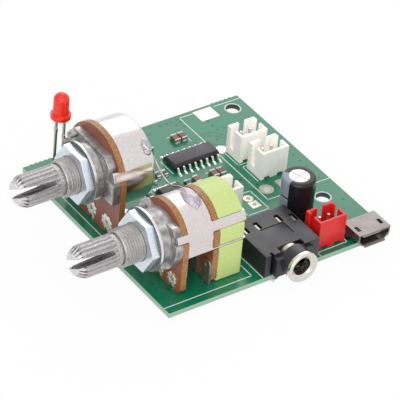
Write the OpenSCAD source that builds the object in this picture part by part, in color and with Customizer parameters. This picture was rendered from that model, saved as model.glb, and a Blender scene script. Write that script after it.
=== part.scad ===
// Small audio amplifier board: a square circuit board with a level control, a switched
// control, an indicator lamp, four wire headers, a headphone jack and a power socket.
// Frame: the origin is the centre of the corner screw hole on the board's underside,
// X runs along the front edge, Y runs from the control shafts to the rear, Z is up.

/* [Board] */
// Width of the board, along X
board_w = 48; // [47.5:0.5:54]
// Depth of the board, along Y
board_d = 48; // [47.5:0.5:54]
// Thickness of the laminate
board_t = 1.0; // [0.8:0.1:2]
// Diameter of the two screw holes
screw_hole_d = 2.8; // [2.2:0.1:3.4]
// Corner screw hole, in from the left and rear edges
corner_hole_inset = 3.2; // [2.5:0.1:5]
// Second screw hole, in from the right edge
side_hole_right = 14; // [12:0.5:16]
// Second screw hole, in from the rear edge
side_hole_rear = 4.6; // [3:0.1:6]
// Radius of the break-off nubs on the left edge
nub_r = 0.2; // [0.1:0.05:0.45]
// Pitch of the nubs
nub_pitch = 1.0; // [0.95:0.05:1.2]
// Nubs in each of the two rows
nub_count = 5; // [2:1:6]
// First nub of each row, in from the front and rear edges
nub_inset = 1.8; // [1:0.1:3]
// Diameter of the two unused pin holes
spare_hole_d = 0.9; // [0.6:0.1:1.2]
// Pitch of the unused pin holes
spare_pitch = 2; // [1.8:0.1:2.54]
// Diameter of the two unused wire holes
wire_hole_d = 1.5; // [1:0.1:1.8]
// Pitch of the unused wire holes
wire_hole_pitch = 4; // [3:0.1:5]

/* [Leads and solder] */
// Length of the trimmed leads under the board
lead_out = 1.0; // [1:0.1:2.5]
// Room around a lead in its hole
lead_room = 0.1; // [0.05:0.05:0.2]
// Height of a solder joint under the board
joint_h = 0.9; // [0.5:0.1:1]
// Land around a lead hole that the solder wets
joint_land = 0.4; // [0.3:0.05:0.6]
// Gap left between a lead and the solder around it
joint_gap = 0.01; // [0.005:0.005:0.03]
// Gap between parts that are assembled without play
seat_gap = 0.02; // [0.01:0.01:0.05]

/* [Controls] */
// Diameter of both shafts
shaft_d = 6; // [5.6:0.1:6.3]
// Step from a shaft's knurl down to its journal, on the radius
journal_step = 0.2; // [0.16:0.02:0.3]
// Gap between the bushing's end and the knurl
knurl_gap = 0.3; // [0.2:0.1:0.8]
// Running clearance of a journal in its bushing, on the radius
shaft_clear = 0.04; // [0.02:0.01:0.1]
// Outside diameter of the bushing thread
bushing_d = 7; // [7:0.1:8]
// Width of the slot in a shaft, at its root
slot_w = 0.8; // [0.6:0.1:1]
// Width of the slot at the tip
slot_tip_w = 1.6; // [1.2:0.1:2]
// Length of that slot
slot_len = 7; // [4:0.5:7.5]
// Turn of the slot from the board's plane
slot_angle = 34; // [0:1:90]
// Drop from a shaft's collar to the split prongs, on the radius
prong_drop = 0.03; // [0.02:0.01:0.1]
// Length of a shaft's tapered tip
tip_len = 1.6; // [1:0.1:2]
// Loss of radius along that tip
tip_drop = 1; // [0.6:0.1:1.2]
// Size of the hexagon nut across its flats
nut_af = 9.7; // [9.4:0.1:11]
// Chamfer at the nut's corners
nut_chamfer = 0.25; // [0.1:0.05:0.7]
// Thickness of the nut
nut_t = 1.5; // [1.2:0.1:2.5]
// Diameter of the washer under the nut
washer_d = 11.8; // [11:0.1:12.4]
// Thickness of the washer
washer_t = 0.5; // [0.3:0.1:0.8]
// Room of nut and washer on the bushing, on the radius
hardware_room = 0.05; // [0.02:0.01:0.1]
// Thickness of the cast front plate
plate_t = 1.6; // [1.2:0.1:2]
// Thickness of the phenolic wafers
wafer_t = 1.2; // [0.9:0.1:1.6]
// Sheet of the control covers
sheet_t = 0.4; // [0.3:0.05:0.5]
// Thickness of the printed resistance track
track_t = 0.05; // [0.03:0.01:0.1]
// Thickness of the rotor
rotor_t = 1.9; // [1.5:0.1:2.2]
// Air between the rotor and the wafer
rotor_air = 0.7; // [0.6:0.05:0.9]
// Sheet of the wiper and switch springs
spring_t = 0.2; // [0.15:0.05:0.3]
// Air between the wiper's dimple and the track
wiper_air = 0.05; // [0.03:0.01:0.1]
// Angle that both shafts turn through
turn_angle = 300; // [270:5:310]
// Half angle that the fixed stop covers
stop_half = 14; // [8:1:16]
// Free angle between stop and rotor lug at either end
stop_free = 1; // [0.5:0.5:3]

/* [Level control] */
// Axis of the level control, right of the board's middle
level_x = -5; // [-6:0.5:-4.5]
// Clear height under its cover, where the terminals are
level_foot = 3.8; // [3.5:0.1:6]
// Setback of its wafer from the board's front edge
level_setback = 2.7; // [2:0.1:4]
// Radius of its wafer
level_wafer_r = 8.4; // [8.3:0.1:9]
// Radius of its cover
level_can_r = 7.9; // [7.7:0.1:8.1]
// Depth of its cover
level_can_depth = 6.9; // [6:0.1:9]
// Rounding of the cover's rear edge
level_can_round = 1.2; // [0.8:0.1:1.8]
// Radius of the boss that carries its bushing
level_boss_r = 5.35; // [5:0.05:5.5]
// Height of that boss over the plate
level_boss_t = 1.5; // [1:0.1:3]
// Length of its bushing
level_bushing_len = 4.6; // [3.5:0.1:7]
// Length of its shaft in front of the boss
level_shaft_len = 13.5; // [13:0.5:25]
// Pitch of its terminals
level_pitch = 5; // [4.5:0.1:5.2]
// Diameter of the crimped star of its terminals
level_star_d = 3.2; // [2.6:0.1:3.6]
// Radius of its rotor
level_rotor_r = 6.1; // [5.6:0.1:6.2]
// Half width of the plate's ears
level_ear_x = 8.3; // [8:0.1:8.6]
// Height of the plate's top edge over the axis
level_plate_top = 5.9; // [5.6:0.1:6.5]

/* [Switched control] */
// Axis of the switched control, right of the board's middle
switch_x = 14.5; // [14:0.5:15]
// Height of its axis above the board
switch_z = 9.8; // [9.6:0.1:12]
// Setback of its wafer from the board's front edge
switch_setback = 4.3; // [3.5:0.1:5]
// Radius of its wafer and switch base
switch_wafer_r = 6.35; // [6.3:0.05:6.8]
// Radius of its cover
switch_can_r = 6.2; // [6:0.1:6.25]
// Depth of its cover
switch_can_depth = 5.3; // [5:0.1:6]
// How far the cover's sides reach below the axis
switch_can_drop = 2.2; // [1.8:0.1:2.6]
// Radius of the boss that carries its bushing
switch_boss_r = 5; // [4.8:0.1:5.5]
// Height of that boss over the plate
switch_boss_t = 2.2; // [1.5:0.1:3]
// Length of its bushing
switch_bushing_len = 6; // [4:0.1:7]
// Length of its shaft in front of the boss
switch_shaft_len = 14.8; // [14.5:0.1:25]
// Pitch of its terminals
switch_pitch = 3.8; // [3.4:0.1:4]
// Diameter of the crimped star of its terminals
switch_star_d = 2.6; // [2.2:0.1:3]
// Radius of its rotor
switch_rotor_r = 4.4; // [4.2:0.1:4.5]
// Depth of the switch housing
housing_depth = 5.3; // [5:0.1:8]
// Radius of the switch housing's drum
housing_r = 6.3; // [6.3:0.05:6.6]
// Wall of the switch housing
housing_wall = 1.2; // [1:0.1:1.4]
// Left switch terminal, right of the axis
blade_left = 1.4; // [1:0.1:1.8]
// Right switch terminal, right of the axis
blade_right = 5.2; // [4.8:0.1:5.2]

/* [Ground wire] */
// Diameter of the bare wire that joins the two covers
wire_d = 0.4; // [0.3:0.05:0.6]

/* [Indicator lamp] */
// Lamp, in from the left edge
led_from_left = 4.5; // [3:0.1:5]
// Lamp, in from the front edge
led_from_front = 4.65; // [3:0.1:6]
// Height of the lamp's flange over the board
led_z = 12.6; // [6:0.1:20]
// Diameter of the lens
led_d = 3; // [2.8:0.1:3.4]
// Diameter of the flange
led_flange_d = 3.8; // [3.6:0.1:4.4]
// Thickness of the flange
led_flange_t = 1; // [0.6:0.1:1.4]
// Height of lens and flange
led_h = 5.3; // [4.5:0.1:7]
// Pitch of the lamp's leads
led_pitch = 2.54; // [1.6:0.02:2.54]
// Side of the square leads
led_lead = 0.5; // [0.4:0.05:0.6]

/* [Chips and chip parts] */
// Pitch of the chip leads
chip_pitch = 1.27; // [1.2:0.01:1.27]
// Width of both chip bodies
chip_w = 3.9; // [3.6:0.1:4.2]
// Height of the chips' top face over the board
chip_top = 1.6; // [1.4:0.1:1.8]
// Span of the chips over their leads
chip_span = 6.2; // [6:0.1:6.6]
// Width of one chip lead
chip_lead_w = 0.42; // [0.3:0.02:0.5]
// Sheet of the chip leads
chip_lead_t = 0.22; // [0.15:0.01:0.26]
// Length of a ceramic chip capacitor
cap_chip_l = 2; // [1.6:0.1:2.2]
// Width of a ceramic chip capacitor
cap_chip_w = 1.25; // [0.8:0.05:1.4]
// Height of a ceramic chip capacitor
cap_chip_h = 0.9; // [0.5:0.1:1.2]
// Length of a chip resistor
res_chip_l = 1.6; // [1.4:0.1:2]
// Width of a chip resistor
res_chip_w = 0.8; // [0.6:0.05:1.2]
// Height of a chip resistor
res_chip_h = 0.5; // [0.4:0.05:0.7]
// Metal end of a chip part
chip_end = 0.4; // [0.2:0.05:0.5]

/* [Wire headers] */
// Length of a header, along Y
header_l = 5.9; // [5.8:0.1:6.4]
// Width of a header, along X
header_w = 4.5; // [4.4:0.1:4.8]
// Height of a header
header_h = 6; // [5.5:0.1:8]
// Wall of a header
header_wall = 0.55; // [0.4:0.05:0.6]
// Floor of a header
header_floor = 1.6; // [1.2:0.1:2]
// Pitch of its pins
header_pitch = 2; // [1.8:0.05:2.5]
// Pin row, in from the header's left face
header_row = 1.7; // [1.5:0.05:2]
// Side of its square pins
header_pin = 0.5; // [0.4:0.05:0.64]
// Height of the pin tips over the board
header_pin_top = 5; // [4:0.1:5.4]
// Width of the slots in its end walls
header_slot = 1.1; // [0.8:0.1:1.2]
// Width of the slot in its left wall
header_gate = 1.4; // [1:0.1:1.8]

/* [Headphone jack] */
// Middle of the jack, behind the board's middle
jack_y = 2.05; // [1.95:0.05:2.2]
// Length of the jack body, along X
jack_l = 11; // [10.8:0.1:12]
// Width of the jack body, along Y
jack_w = 11.7; // [11.5:0.1:11.9]
// Height of the jack body
jack_h = 4.55; // [4.4:0.05:6]
// Height of the bore's axis over the board
jack_axis_z = 2.35; // [2.2:0.05:3]
// Diameter of the plug bore
jack_bore_d = 3.6; // [3.5:0.05:3.7]
// Radius of the round nose
jack_nose_r = 2.95; // [2.8:0.05:3.1]
// Length of the nose in front of the body
jack_nose_len = 2.9; // [1.6:0.1:3]
// Radius of the metal ring on the nose
jack_ring_r = 3.1; // [3:0.05:3.3]
// Length of the metal ring
jack_ring_len = 0.6; // [0.4:0.1:1]
// Sheet of the jack's contacts
jack_sheet = 0.35; // [0.25:0.05:0.4]

/* [Power socket] */
// Middle of the socket, in from the rear edge
usb_from_rear = 4.55; // [4.4:0.1:6]
// Length of the shell, along X
usb_l = 5; // [4.6:0.1:6]
// Width of the shell, along Y
usb_w = 7; // [6.8:0.1:7.2]
// Height of the shell
usb_h = 2.6; // [2.4:0.1:2.8]
// How far the shell stands out over the edge
usb_out = 1.3; // [0.6:0.1:2]
// Sheet of the shell
usb_sheet = 0.3; // [0.2:0.05:0.35]

/* [Capacitor] */
// Capacitor, right of the board's middle
cap_x = 11.5; // [11:0.1:12]
// Capacitor, behind the board's middle
cap_y = 12; // [11.9:0.1:13]
// Diameter over the sleeve
cap_d = 6.3; // [5:0.1:6.4]
// Height over the board
cap_top = 8.6; // [6:0.1:13]
// Gap between its rubber and the board
cap_lift = 0.3; // [0.1:0.1:1]
// Thickness of the sleeve
cap_sleeve_t = 0.15; // [0.1:0.05:0.2]
// Pitch of its leads
cap_pitch = 2.5; // [2:0.1:3.5]

/* [Hidden] */
$fn = 48;
// Overshoot of a cutting shape
cut = 1;

// Edges of the board, from its middle
left = -board_w / 2;
right = board_w / 2;
front = -board_d / 2;
rear = board_d / 2;
corner_hole = [left + corner_hole_inset, rear - corner_hole_inset];
side_hole = [right - side_hole_right, rear - side_hole_rear];
wire_holes = [[3.05, 11.65], [3.05, 11.65 + wire_hole_pitch]];
spare_holes = [[3.75, 7.05], [3.75 + spare_pitch, 7.05]];

// Height of the level control's axis above the board
level_z = level_can_r + level_foot;

// Wafer faces of the two controls and what lies behind them, along Y
level_y = front + level_setback;
switch_y = front + switch_setback;
base_back = wafer_t + switch_can_depth;
housing_front = base_back + wafer_t;
strap_back = housing_front + housing_depth + sheet_t;
cavity_depth = housing_depth - housing_wall;

// Shaft, rotor and stops shared by both controls
shaft_r = shaft_d / 2;
journal_r = shaft_r - journal_step;
bore_r = journal_r + shaft_clear;
bushing_r = bushing_d / 2;
hardware_r = bushing_r + hardware_room;
neck_r = 2;
neck_flat = 1.5;
cam_neck_r = 1.3;
rotor_front = wafer_t + rotor_air;
rotor_back = rotor_front + rotor_t;
lug_half = (360 - turn_angle) / 2 - stop_half - stop_free;
lug_offset = (360 - turn_angle) / 2;
level_stop = 270;
switch_stop = 90;
lug_reach = 0.8;
stop_air = 0.3;
lug_root = 1;
neck_room = 0.6;
track_gap = 25;
track_in = 1.5;
track_out = 0.3;
finger_y = 0.7;
finger_half = 0.4;
dimple_r = 0.35;
wiper_rim = 1;
cam_r = 2.4;
cam_tip_r = 3.9;
cam_from = 225;
cam_to = 255;
cam_t = 1.8;
cam_air = 0.9;
cam_back = housing_front + cavity_depth - cam_air;

// Outlines of the two front plates, from the axis
boss_rim = 0.3;
level_ear_low = 2.7;
level_ear_top = 2;
level_shoulder_x = 6.6;
level_shoulder = 1.6;
level_peg = [-4.7, level_plate_top - 1.1];
switch_plate_top = 4.3;
switch_lug = [-5.2, -3.6];
switch_peg = [-3.9, switch_plate_top - 0.7];
level_peg_r = 0.65;
switch_peg_r = 0.6;
peg_h = 1.2;

// Turn of the prongs' seam, so that it lies clear of the slot
seam_turn = 52;

// Cover tabs: the band of heights over the axis that they fill, and the ledge they are folded on
level_tab = [1.45, 3.4];
switch_tab = [1.4, 2.75];
tab_inner_x = [6.3, 5.1];
tab_seat = 0.6;
tab_room = 0.08;
strap_band = [1.7, 3.4];
strap_fold_x = 3.6;
lip_w = 1.5;
works_h = 4.4;
leaf_half = 0.8;
leaf_reach = 0.6;

// Terminals of both controls
terminal_t = 0.4;
terminal_w = 1.8;
pin_w = 0.9;
pin_t = 0.5;
rivet_r = 0.85;
rivet_bore_r = 0.5;
star_t = 0.25;
star_teeth = 8;
star_notch_r = 0.3;
wafer_lift = 0.1;
wafer_corner = 0.9;
notch_w = 1.7;
notch_h = 1.3;
rivet_gap = 0.1;
level_rivet_z = level_foot - terminal_w / 2 - rivet_gap;
switch_rivet_z = 2.3;
blade_w = 2.2;
blade_hole_z = 3.9;
blade_hole_r = 0.5;
blade_rivet_r = 0.7;
head_r = 0.8;
head_t = 0.3;

// Places of the chips and chip parts on the board
amplifier_pos = [-11.15, 4.63];
amplifier_pairs = 8;
preamp_pos = [-3.45, -4.7];
preamp_pairs = 4;
chip_gap = 0.15;
chip_bevel = 0.4;
chip_parting = 0.2;
chip_short = 0.2;
chip_knee = 0.35;
cap_chips = [[-17.5, 5.35], [-17.5, 6.9], [-4.95, 5.5], [-4.95, 7.05], [-5, 1.65]];
res_chips = [[-9.8, -2.2], [-9.9, -3.8], [-5.25, -0.25], [-8.9, -5.2], [-5.4, -8.4]];

// Places of the headers on the board
left_header = [-8, 14.65];
middle_header = [-1.8, 15.1];
inner_header = [4.35, 0.55];
red_header = [20.1, 12.05];
header_foot = 0.5;
header_foot_w = 1.3;
header_foot_y = 1.45;
header_sill = 0.8;

// Bumps that the lamp's leads keep from their strip
led_bar_w = 0.75;
led_bar_h = 1;
led_bar_drop = 4;
led_flat = 0.1;

// Jack stations along X
jack_front = right;
jack_back = jack_front - jack_l;
jack_step = 1;
jack_step_half = 4.1;
jack_step_drop = 0.7;
jack_groove = 0.6;
jack_groove_in = 0.8;
jack_end_wall = 1;
jack_seam = 0.2;
jack_seam_in = 4;
jack_seam_x = jack_back + jack_seam_in;
jack_seam_y = [jack_y - 2.4, jack_y + 2.8];
jack_seam_l = 3.4;
jack_port_half = 0.7;
nib_reach = 0.35;
nib_r = 0.6;
nib_tip_r = 0.35;
contact_foot = 0.2;
tail_lap = 0.1;
jack_outer_in = 0.6;
jack_slots = [[2.75, -4.6], [2.75, -1.95], [2.75, 2.65], [3.65, jack_w / 2 - jack_outer_in]];
jack_chamber_room = 0.2;
jack_slot_l = 2;
jack_slot_w = 0.9;
jack_blade_w = 1.4;
jack_tail_w = 1;
jack_top_gap = 0.35;
jack_window = [1.45, 0.05];
jack_window_half = 2.6;
jack_window_low = 1;
spring_gap = 0.16;
spring_slot = 0.5;
sleeve_tail_y = -3.4;

// Power socket stations
usb_y = rear - usb_from_rear;
usb_front = right + usb_out;
usb_back = usb_front - usb_l;
usb_foot_in = 0.9;
usb_foot_half = usb_w / 2 - usb_foot_in;
usb_shoulder = 1.1;
usb_bend = 0.7;
usb_lip = 0.45;
usb_lip_angle = 25;
usb_lip_root = 0.1;
usb_lip_in = 0.5;
usb_sill_in = 0.3;
usb_leg_root = 0.4;
usb_slot_y = 2.5;
usb_slot_half = 0.35;
usb_slot_x = [2.6, 1.2];
usb_block_in = 0.1;
usb_tongue_in = 0.6;
usb_pin_in = 1;
usb_tail_out = 0.3;
usb_tail_lift = 0.02;
usb_tongue_w = 3.8;
usb_tongue_t = 0.65;
usb_tongue_z = 1.35;
usb_block_l = 1.8;
usb_leg_w = 1.1;
usb_leg_x = usb_back + 1.6;
usb_pins = 5;
usb_pin_pitch = 0.65;
usb_pin_w = 0.3;
usb_pin_t = 0.12;

// Half section of the capacitor's can and sleeve
cap_r = cap_d / 2 - cap_sleeve_t;
cap_h = cap_top - cap_lift;
cap_shoulder = 0.4;
cap_crimp = 0.35;
cap_crimp_z = [0.9, 1.3, 1.7];
cap_wall = 0.5;
cap_bung_t = 1.6;
cap_rim = 1;
cap_lead_d = 0.5;

// Lead places, each with its size along X and Y; a round lead has one size
level_pins = [for (i = [-1:1]) [level_x + i * level_pitch, level_y + wafer_t / 2, pin_w, pin_t]];
switch_pins = [for (i = [-1:1]) [switch_x + i * switch_pitch, switch_y + wafer_t / 2, pin_w, pin_t]];
blade_y = switch_y + base_back - terminal_t / 2;
blade_pins = [for (x = [blade_left, blade_right]) [switch_x + x, blade_y, pin_w, terminal_t]];
led_pos = [left + led_from_left, front + led_from_front];
led_pins = [for (s = [-1, 1]) [led_pos[0] + s * led_pitch / 2, led_pos[1], led_lead, led_lead]];
function header_pins(p) = [for (s = [-1, 1])
    [p[0] - header_w / 2 + header_row, p[1] + s * header_pitch / 2, header_pin, header_pin]];
jack_pins = [for (s = jack_slots)
    [jack_back + s[0], jack_y + s[1], jack_tail_w, jack_sheet]];
sleeve_pin = [jack_front - jack_window[0] / 2, jack_y + sleeve_tail_y, jack_tail_w, jack_sheet];
usb_legs = [for (s = [-1, 1]) [usb_leg_x, usb_y + s * (usb_w - usb_sheet) / 2, usb_leg_w, usb_sheet]];
cap_pins = [for (s = [-1, 1]) [cap_x, cap_y + s * cap_pitch / 2, cap_lead_d]];
leads = concat(level_pins, switch_pins, blade_pins, led_pins, header_pins(left_header),
    header_pins(middle_header), header_pins(inner_header), header_pins(red_header), jack_pins,
    [sleeve_pin], usb_legs, cap_pins);
function lead_hole_r(p) = (len(p) == 3 ? p[2] / 2 : norm([p[2], p[3]]) / 2) + lead_room;

// Ground wire: both ends lie in the solder on the covers
wire_sides = 8;
wire_steps = 2;
level_blob_r = 1.5;
level_blob_sink = 0.6;
level_blob_turn = 45;
level_blob_in = 1.2;
switch_blob_r = 1.6;
switch_blob_sink = 0.9;
switch_blob_turns = [98, 74];
switch_blob_in = 1.6;
function level_blob_at(r) = [level_x + r * cos(level_blob_turn),
    level_y + wafer_t + level_can_depth - level_blob_in, level_z + r * sin(level_blob_turn)];
function switch_blob_at(r, turn) = [switch_x + r * cos(turn), switch_y + base_back - switch_blob_in,
    switch_z + r * sin(turn)];
level_blob = level_blob_at(level_can_r - level_blob_sink);
switch_blobs = [for (t = switch_blob_turns) switch_blob_at(switch_can_r - switch_blob_sink, t)];
wire_route = [
    level_blob + [0.35, 1.3, -0.25],
    level_blob + [0.4, 1.45, -1.3],
    level_blob + [0.55, 1.5, -2.1],
    level_blob + [1.6, 1.45, -2.8],
    level_blob + [2.8, 1.5, -3.65],
    level_blob + [5.4, 1.2, -4.2],
    switch_blobs[0] + [-5.8, 1.2, -1.75],
    switch_blobs[0] + [-3.75, 0.8, -0.4],
    switch_blobs[0] + [-2.55, 0.5, 0.45],
    switch_blobs[0] + [-1.4, 0.2, 1],
    switch_blobs[0] + [0.3, 0, 1.35]];

// Board frame: the origin is the middle of the board's top face
module on_board() {
    translate([-corner_hole[0], -corner_hole[1], board_t]) children();
}

// Control frames: seen from the front, with X right, Y up and Z out along the shaft,
// from the front face of the wafer
module level_axis() {
    on_board() translate([level_x, level_y, level_z]) rotate([90, 0, 0]) children();
}
module switch_axis() {
    on_board() translate([switch_x, switch_y, switch_z]) rotate([90, 0, 0]) children();
}

// Block from a corner point to the opposite one
module block(a, b) {
    translate(a) cube(b - a);
}

// Part of a flat ring between two angles
module ring_sector(r_in, r_out, a_from, a_to) {
    far = 2 * r_out;
    middle = (a_from + a_to) / 2;
    intersection() {
        difference() {
            circle(r_out);
            circle(r_in);
        }
        polygon([[0, 0], far * [cos(a_from), sin(a_from)], far * [cos(middle), sin(middle)],
            far * [cos(a_to), sin(a_to)]]);
    }
}

// Prism of one lead, with room around it
module lead_prism(p, room, from, to) {
    translate([p[0], p[1], from]) {
        if (len(p) == 3) {
            cylinder(d = p[2] + 2 * room, h = to - from);
        } else {
            translate([-p[2] / 2 - room, -p[3] / 2 - room, 0])
                cube([p[2] + 2 * room, p[3] + 2 * room, to - from]);
        }
    }
}

// Lowest point of the trimmed leads
lead_end = -board_t - lead_out;

// Laminate with the screw holes, the lead holes and the nubs where it was snapped off its panel
module circuit_board() {
    color("seagreen") on_board() difference() {
        union() {
            block([left, front, -board_t], [right, rear, 0]);
            for (i = [0:nub_count - 1], y = [front + nub_inset + i * nub_pitch,
                    rear - nub_inset - i * nub_pitch])
                translate([left, y, -board_t]) cylinder(r = nub_r, h = board_t);
        }
        for (p = [corner_hole, side_hole])
            translate([p[0], p[1], -board_t - cut]) cylinder(d = screw_hole_d, h = board_t + 2 * cut);
        for (p = wire_holes)
            translate([p[0], p[1], -board_t - cut]) cylinder(d = wire_hole_d, h = board_t + 2 * cut);
        for (p = spare_holes)
            translate([p[0], p[1], -board_t - cut]) cylinder(d = spare_hole_d, h = board_t + 2 * cut);
        for (p = leads)
            translate([p[0], p[1], -board_t - cut])
                cylinder(r = lead_hole_r(p), h = board_t + 2 * cut);
    }
}

// Cone of solder around each lead under the board
module solder_joints() {
    color("silver") on_board() for (p = leads) difference() {
        translate([p[0], p[1], -board_t - joint_h])
            cylinder(r1 = lead_hole_r(p) * 0.8, r2 = lead_hole_r(p) + joint_land, h = joint_h);
        lead_prism(p, joint_gap, lead_end, 0);
    }
}

// Bent cover tab: a strip of the cover's wall that is folded over the front plate
module cover_tab(r, band, inner_x, from) {
    intersection() {
        union() {
            translate([0, 0, from]) linear_extrude(tab_seat - from) difference() {
                circle(r);
                circle(r - sheet_t);
            }
            translate([0, 0, tab_seat]) cylinder(r = r, h = sheet_t);
        }
        for (s = [0, 1]) mirror([s, 0, 0])
            block([inner_x, band[0], from - cut], [r + cut, band[1], tab_seat + sheet_t + cut]);
    }
}

// Room for a cover tab in the rim of a wafer or plate
module tab_notch(r, band) {
    difference() {
        for (s = [0, 1]) mirror([s, 0, 0]) translate([0, band[0] - tab_room])
            square([2 * r, band[1] - band[0] + 2 * tab_room]);
        circle(r - sheet_t - tab_room);
    }
}

// Step in the front of a plate, down to the ledge that a cover tab is folded on
module tab_step(r, band, inner_x) {
    for (s = [0, 1]) mirror([s, 0, 0]) block([inner_x - tab_room, band[0] - tab_room, tab_seat],
        [2 * r, band[1] + tab_room, plate_t + cut]);
}

// Cast front plate with boss and bushing around the running bore
module front_plate(boss_r, boss_t, bushing_len) {
    difference() {
        union() {
            linear_extrude(plate_t) children();
            cylinder(r = boss_r, h = plate_t + boss_t);
            cylinder(r = bushing_r, h = plate_t + boss_t + bushing_len);
        }
        translate([0, 0, -cut]) cylinder(r = bore_r, h = plate_t + boss_t + bushing_len + 2 * cut);
    }
}

// Locating peg that stands on a front plate
module plate_peg(at, r) {
    translate([at[0], at[1], plate_t]) cylinder(r = r, h = peg_h);
}

// Slot between the prongs, cast with draft so that it widens toward the tip
module slot_wedge() {
    end = slot_len + cut;
    end_w = slot_w + (slot_tip_w - slot_w) * end / slot_len;
    rotate([90, 0, 90]) linear_extrude(2 * shaft_d, center = true)
        polygon([[-slot_w / 2, 0], [slot_w / 2, 0], [end_w / 2, end], [-end_w / 2, end]]);
}

// Split shaft: two prongs and a collar for the knob, the journal in the bushing, and a flatted
// neck that drives the rotor
module control_shaft(bushing_end, tip, neck_end) {
    collar = bushing_end + knurl_gap;
    split = tip - slot_len;
    prong_r = shaft_r - prong_drop;
    difference() {
        union() {
            translate([0, 0, seat_gap]) cylinder(r = journal_r, h = collar - seat_gap);
            translate([0, 0, collar]) cylinder(r = shaft_r, h = split - collar);
            rotate(slot_angle - seam_turn) {
                translate([0, 0, split - prong_drop])
                    cylinder(r = prong_r, h = slot_len - tip_len + prong_drop);
                translate([0, 0, tip - tip_len])
                    cylinder(r1 = prong_r, r2 = prong_r - tip_drop, h = tip_len);
            }
            neck(-neck_end, seat_gap, 0);
        }
        rotate(slot_angle) translate([0, 0, split]) slot_wedge();
    }
}

// Neck of a shaft: round with two flats
module neck(from, to, room) {
    intersection() {
        translate([0, 0, from]) cylinder(r = neck_r + room, h = to - from);
        block([-neck_r - cut, -neck_flat - room, from], [neck_r + cut, neck_flat + room, to]);
    }
}

// Rotor disc on the neck, with the lug that meets the fixed stop
module control_rotor(r, stop_at) {
    difference() {
        translate([0, 0, -rotor_back]) linear_extrude(rotor_t) union() {
            circle(r);
            ring_sector(r - lug_root, r + lug_reach, stop_at - lug_offset - lug_half,
                stop_at - lug_offset + lug_half);
        }
        neck(-rotor_back - cut, -rotor_front + cut, seat_gap);
    }
}

// Sprung wiper on the rotor's face, with a dimple that rides on the track
module control_wiper(rotor_r) {
    dimple_x = rotor_r + (track_out - track_in) / 2;
    dimple_h = rotor_air - track_t - wiper_air;
    translate([0, 0, -rotor_front]) difference() {
        union() {
            cylinder(r = neck_r + wiper_rim, h = spring_t);
            for (y = [-finger_y, finger_y]) {
                block([0, y - finger_half, 0], [dimple_x + finger_half, y + finger_half, spring_t]);
                translate([dimple_x, y, 0]) cylinder(r = dimple_r, h = dimple_h);
            }
        }
        translate([0, 0, -cut]) cylinder(r = neck_r + seat_gap, h = spring_t + 2 * cut);
    }
}

// Outline of a wafer: round head with a straight foot that stands on the board
module wafer_outline(r, axis_z) {
    low = wafer_lift - axis_z;
    circle(r);
    polygon([[-r, 0], [-r, low + wafer_corner], [wafer_corner - r, low], [r - wafer_corner, low],
        [r, low + wafer_corner], [r, 0]]);
}

// Phenolic wafer with its rivet holes, pin notches and tab notches
module control_wafer(r, axis_z, rivet_z, pitch, can_r, band) {
    translate([0, 0, -wafer_t]) linear_extrude(wafer_t) difference() {
        wafer_outline(r, axis_z);
        circle(neck_r + neck_room);
        tab_notch(can_r, band);
        for (i = [-1:1]) translate([i * pitch, 0]) {
            translate([0, rivet_z - axis_z]) circle(rivet_r + seat_gap);
            translate([-notch_w / 2, -axis_z]) square([notch_w, notch_h]);
        }
    }
}

// Printed resistance track on the back of a wafer
module control_track(rotor_r) {
    translate([0, 0, -wafer_t - track_t]) linear_extrude(track_t) for (s = [0, 1]) mirror([s, 0])
        ring_sector(rotor_r - track_in, rotor_r + track_out, track_gap - 90, 90);
}

// Terminal: strip behind the wafer, hollow rivet with a crimped star in front, pin to the board
module terminal(rivet_z, axis_z, star_d) {
    back = -wafer_t - terminal_t;
    rivet_y = rivet_z - axis_z;
    jog_y = notch_h / 2 - axis_z;
    pin_front = (pin_t - wafer_t) / 2;
    difference() {
        union() {
            translate([0, rivet_y, back]) cylinder(r = terminal_w / 2, h = terminal_t);
            block([-pin_w / 2, jog_y, back], [pin_w / 2, rivet_y, -wafer_t]);
            block([-pin_w / 2, jog_y - pin_t / 2, back], [pin_w / 2, jog_y + pin_t / 2, pin_front]);
            block([-pin_w / 2, lead_end - axis_z, pin_front - pin_t], [pin_w / 2, jog_y, pin_front]);
            translate([0, rivet_y, back]) cylinder(r = rivet_r, h = terminal_t + wafer_t + star_t);
            translate([0, rivet_y, 0]) linear_extrude(star_t) difference() {
                circle(d = star_d);
                for (i = [0:star_teeth - 1]) rotate(i * 360 / star_teeth)
                    translate([star_d / 2, 0]) circle(star_notch_r);
            }
        }
        translate([0, rivet_y, back - cut])
            cylinder(r = rivet_bore_r, h = terminal_t + wafer_t + star_t + 2 * cut);
    }
}

// Hexagon nut with a chamfered front
module hex_nut(at) {
    corner_r = nut_af / 2 / cos(30);
    bevel = nut_chamfer * tan(30);
    translate([0, 0, at]) difference() {
        intersection() {
            cylinder(r = corner_r, h = nut_t, $fn = 6);
            union() {
                cylinder(r = corner_r, h = nut_t - bevel);
                translate([0, 0, nut_t - bevel])
                    cylinder(r1 = corner_r, r2 = corner_r - nut_chamfer, h = bevel);
            }
        }
        translate([0, 0, -cut]) cylinder(r = hardware_r, h = nut_t + 2 * cut);
    }
}

// Plain washer under a nut
module plain_washer(at) {
    translate([0, 0, at]) linear_extrude(washer_t) difference() {
        circle(d = washer_d);
        circle(hardware_r);
    }
}

// Level control: front plate with two ears and a peg
module level_front_plate() {
    color("silver") level_axis() {
        difference() {
            front_plate(level_boss_r, level_boss_t, level_bushing_len) difference() {
                union() {
                    translate([-level_ear_x, -level_ear_low])
                        square([2 * level_ear_x, level_ear_low + level_ear_top]);
                    level_plate_head();
                    circle(level_boss_r + boss_rim);
                }
                tab_notch(level_can_r, level_tab);
            }
            tab_step(level_can_r, level_tab, tab_inner_x[0]);
        }
        plate_peg(level_peg, level_peg_r);
    }
}

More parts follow.
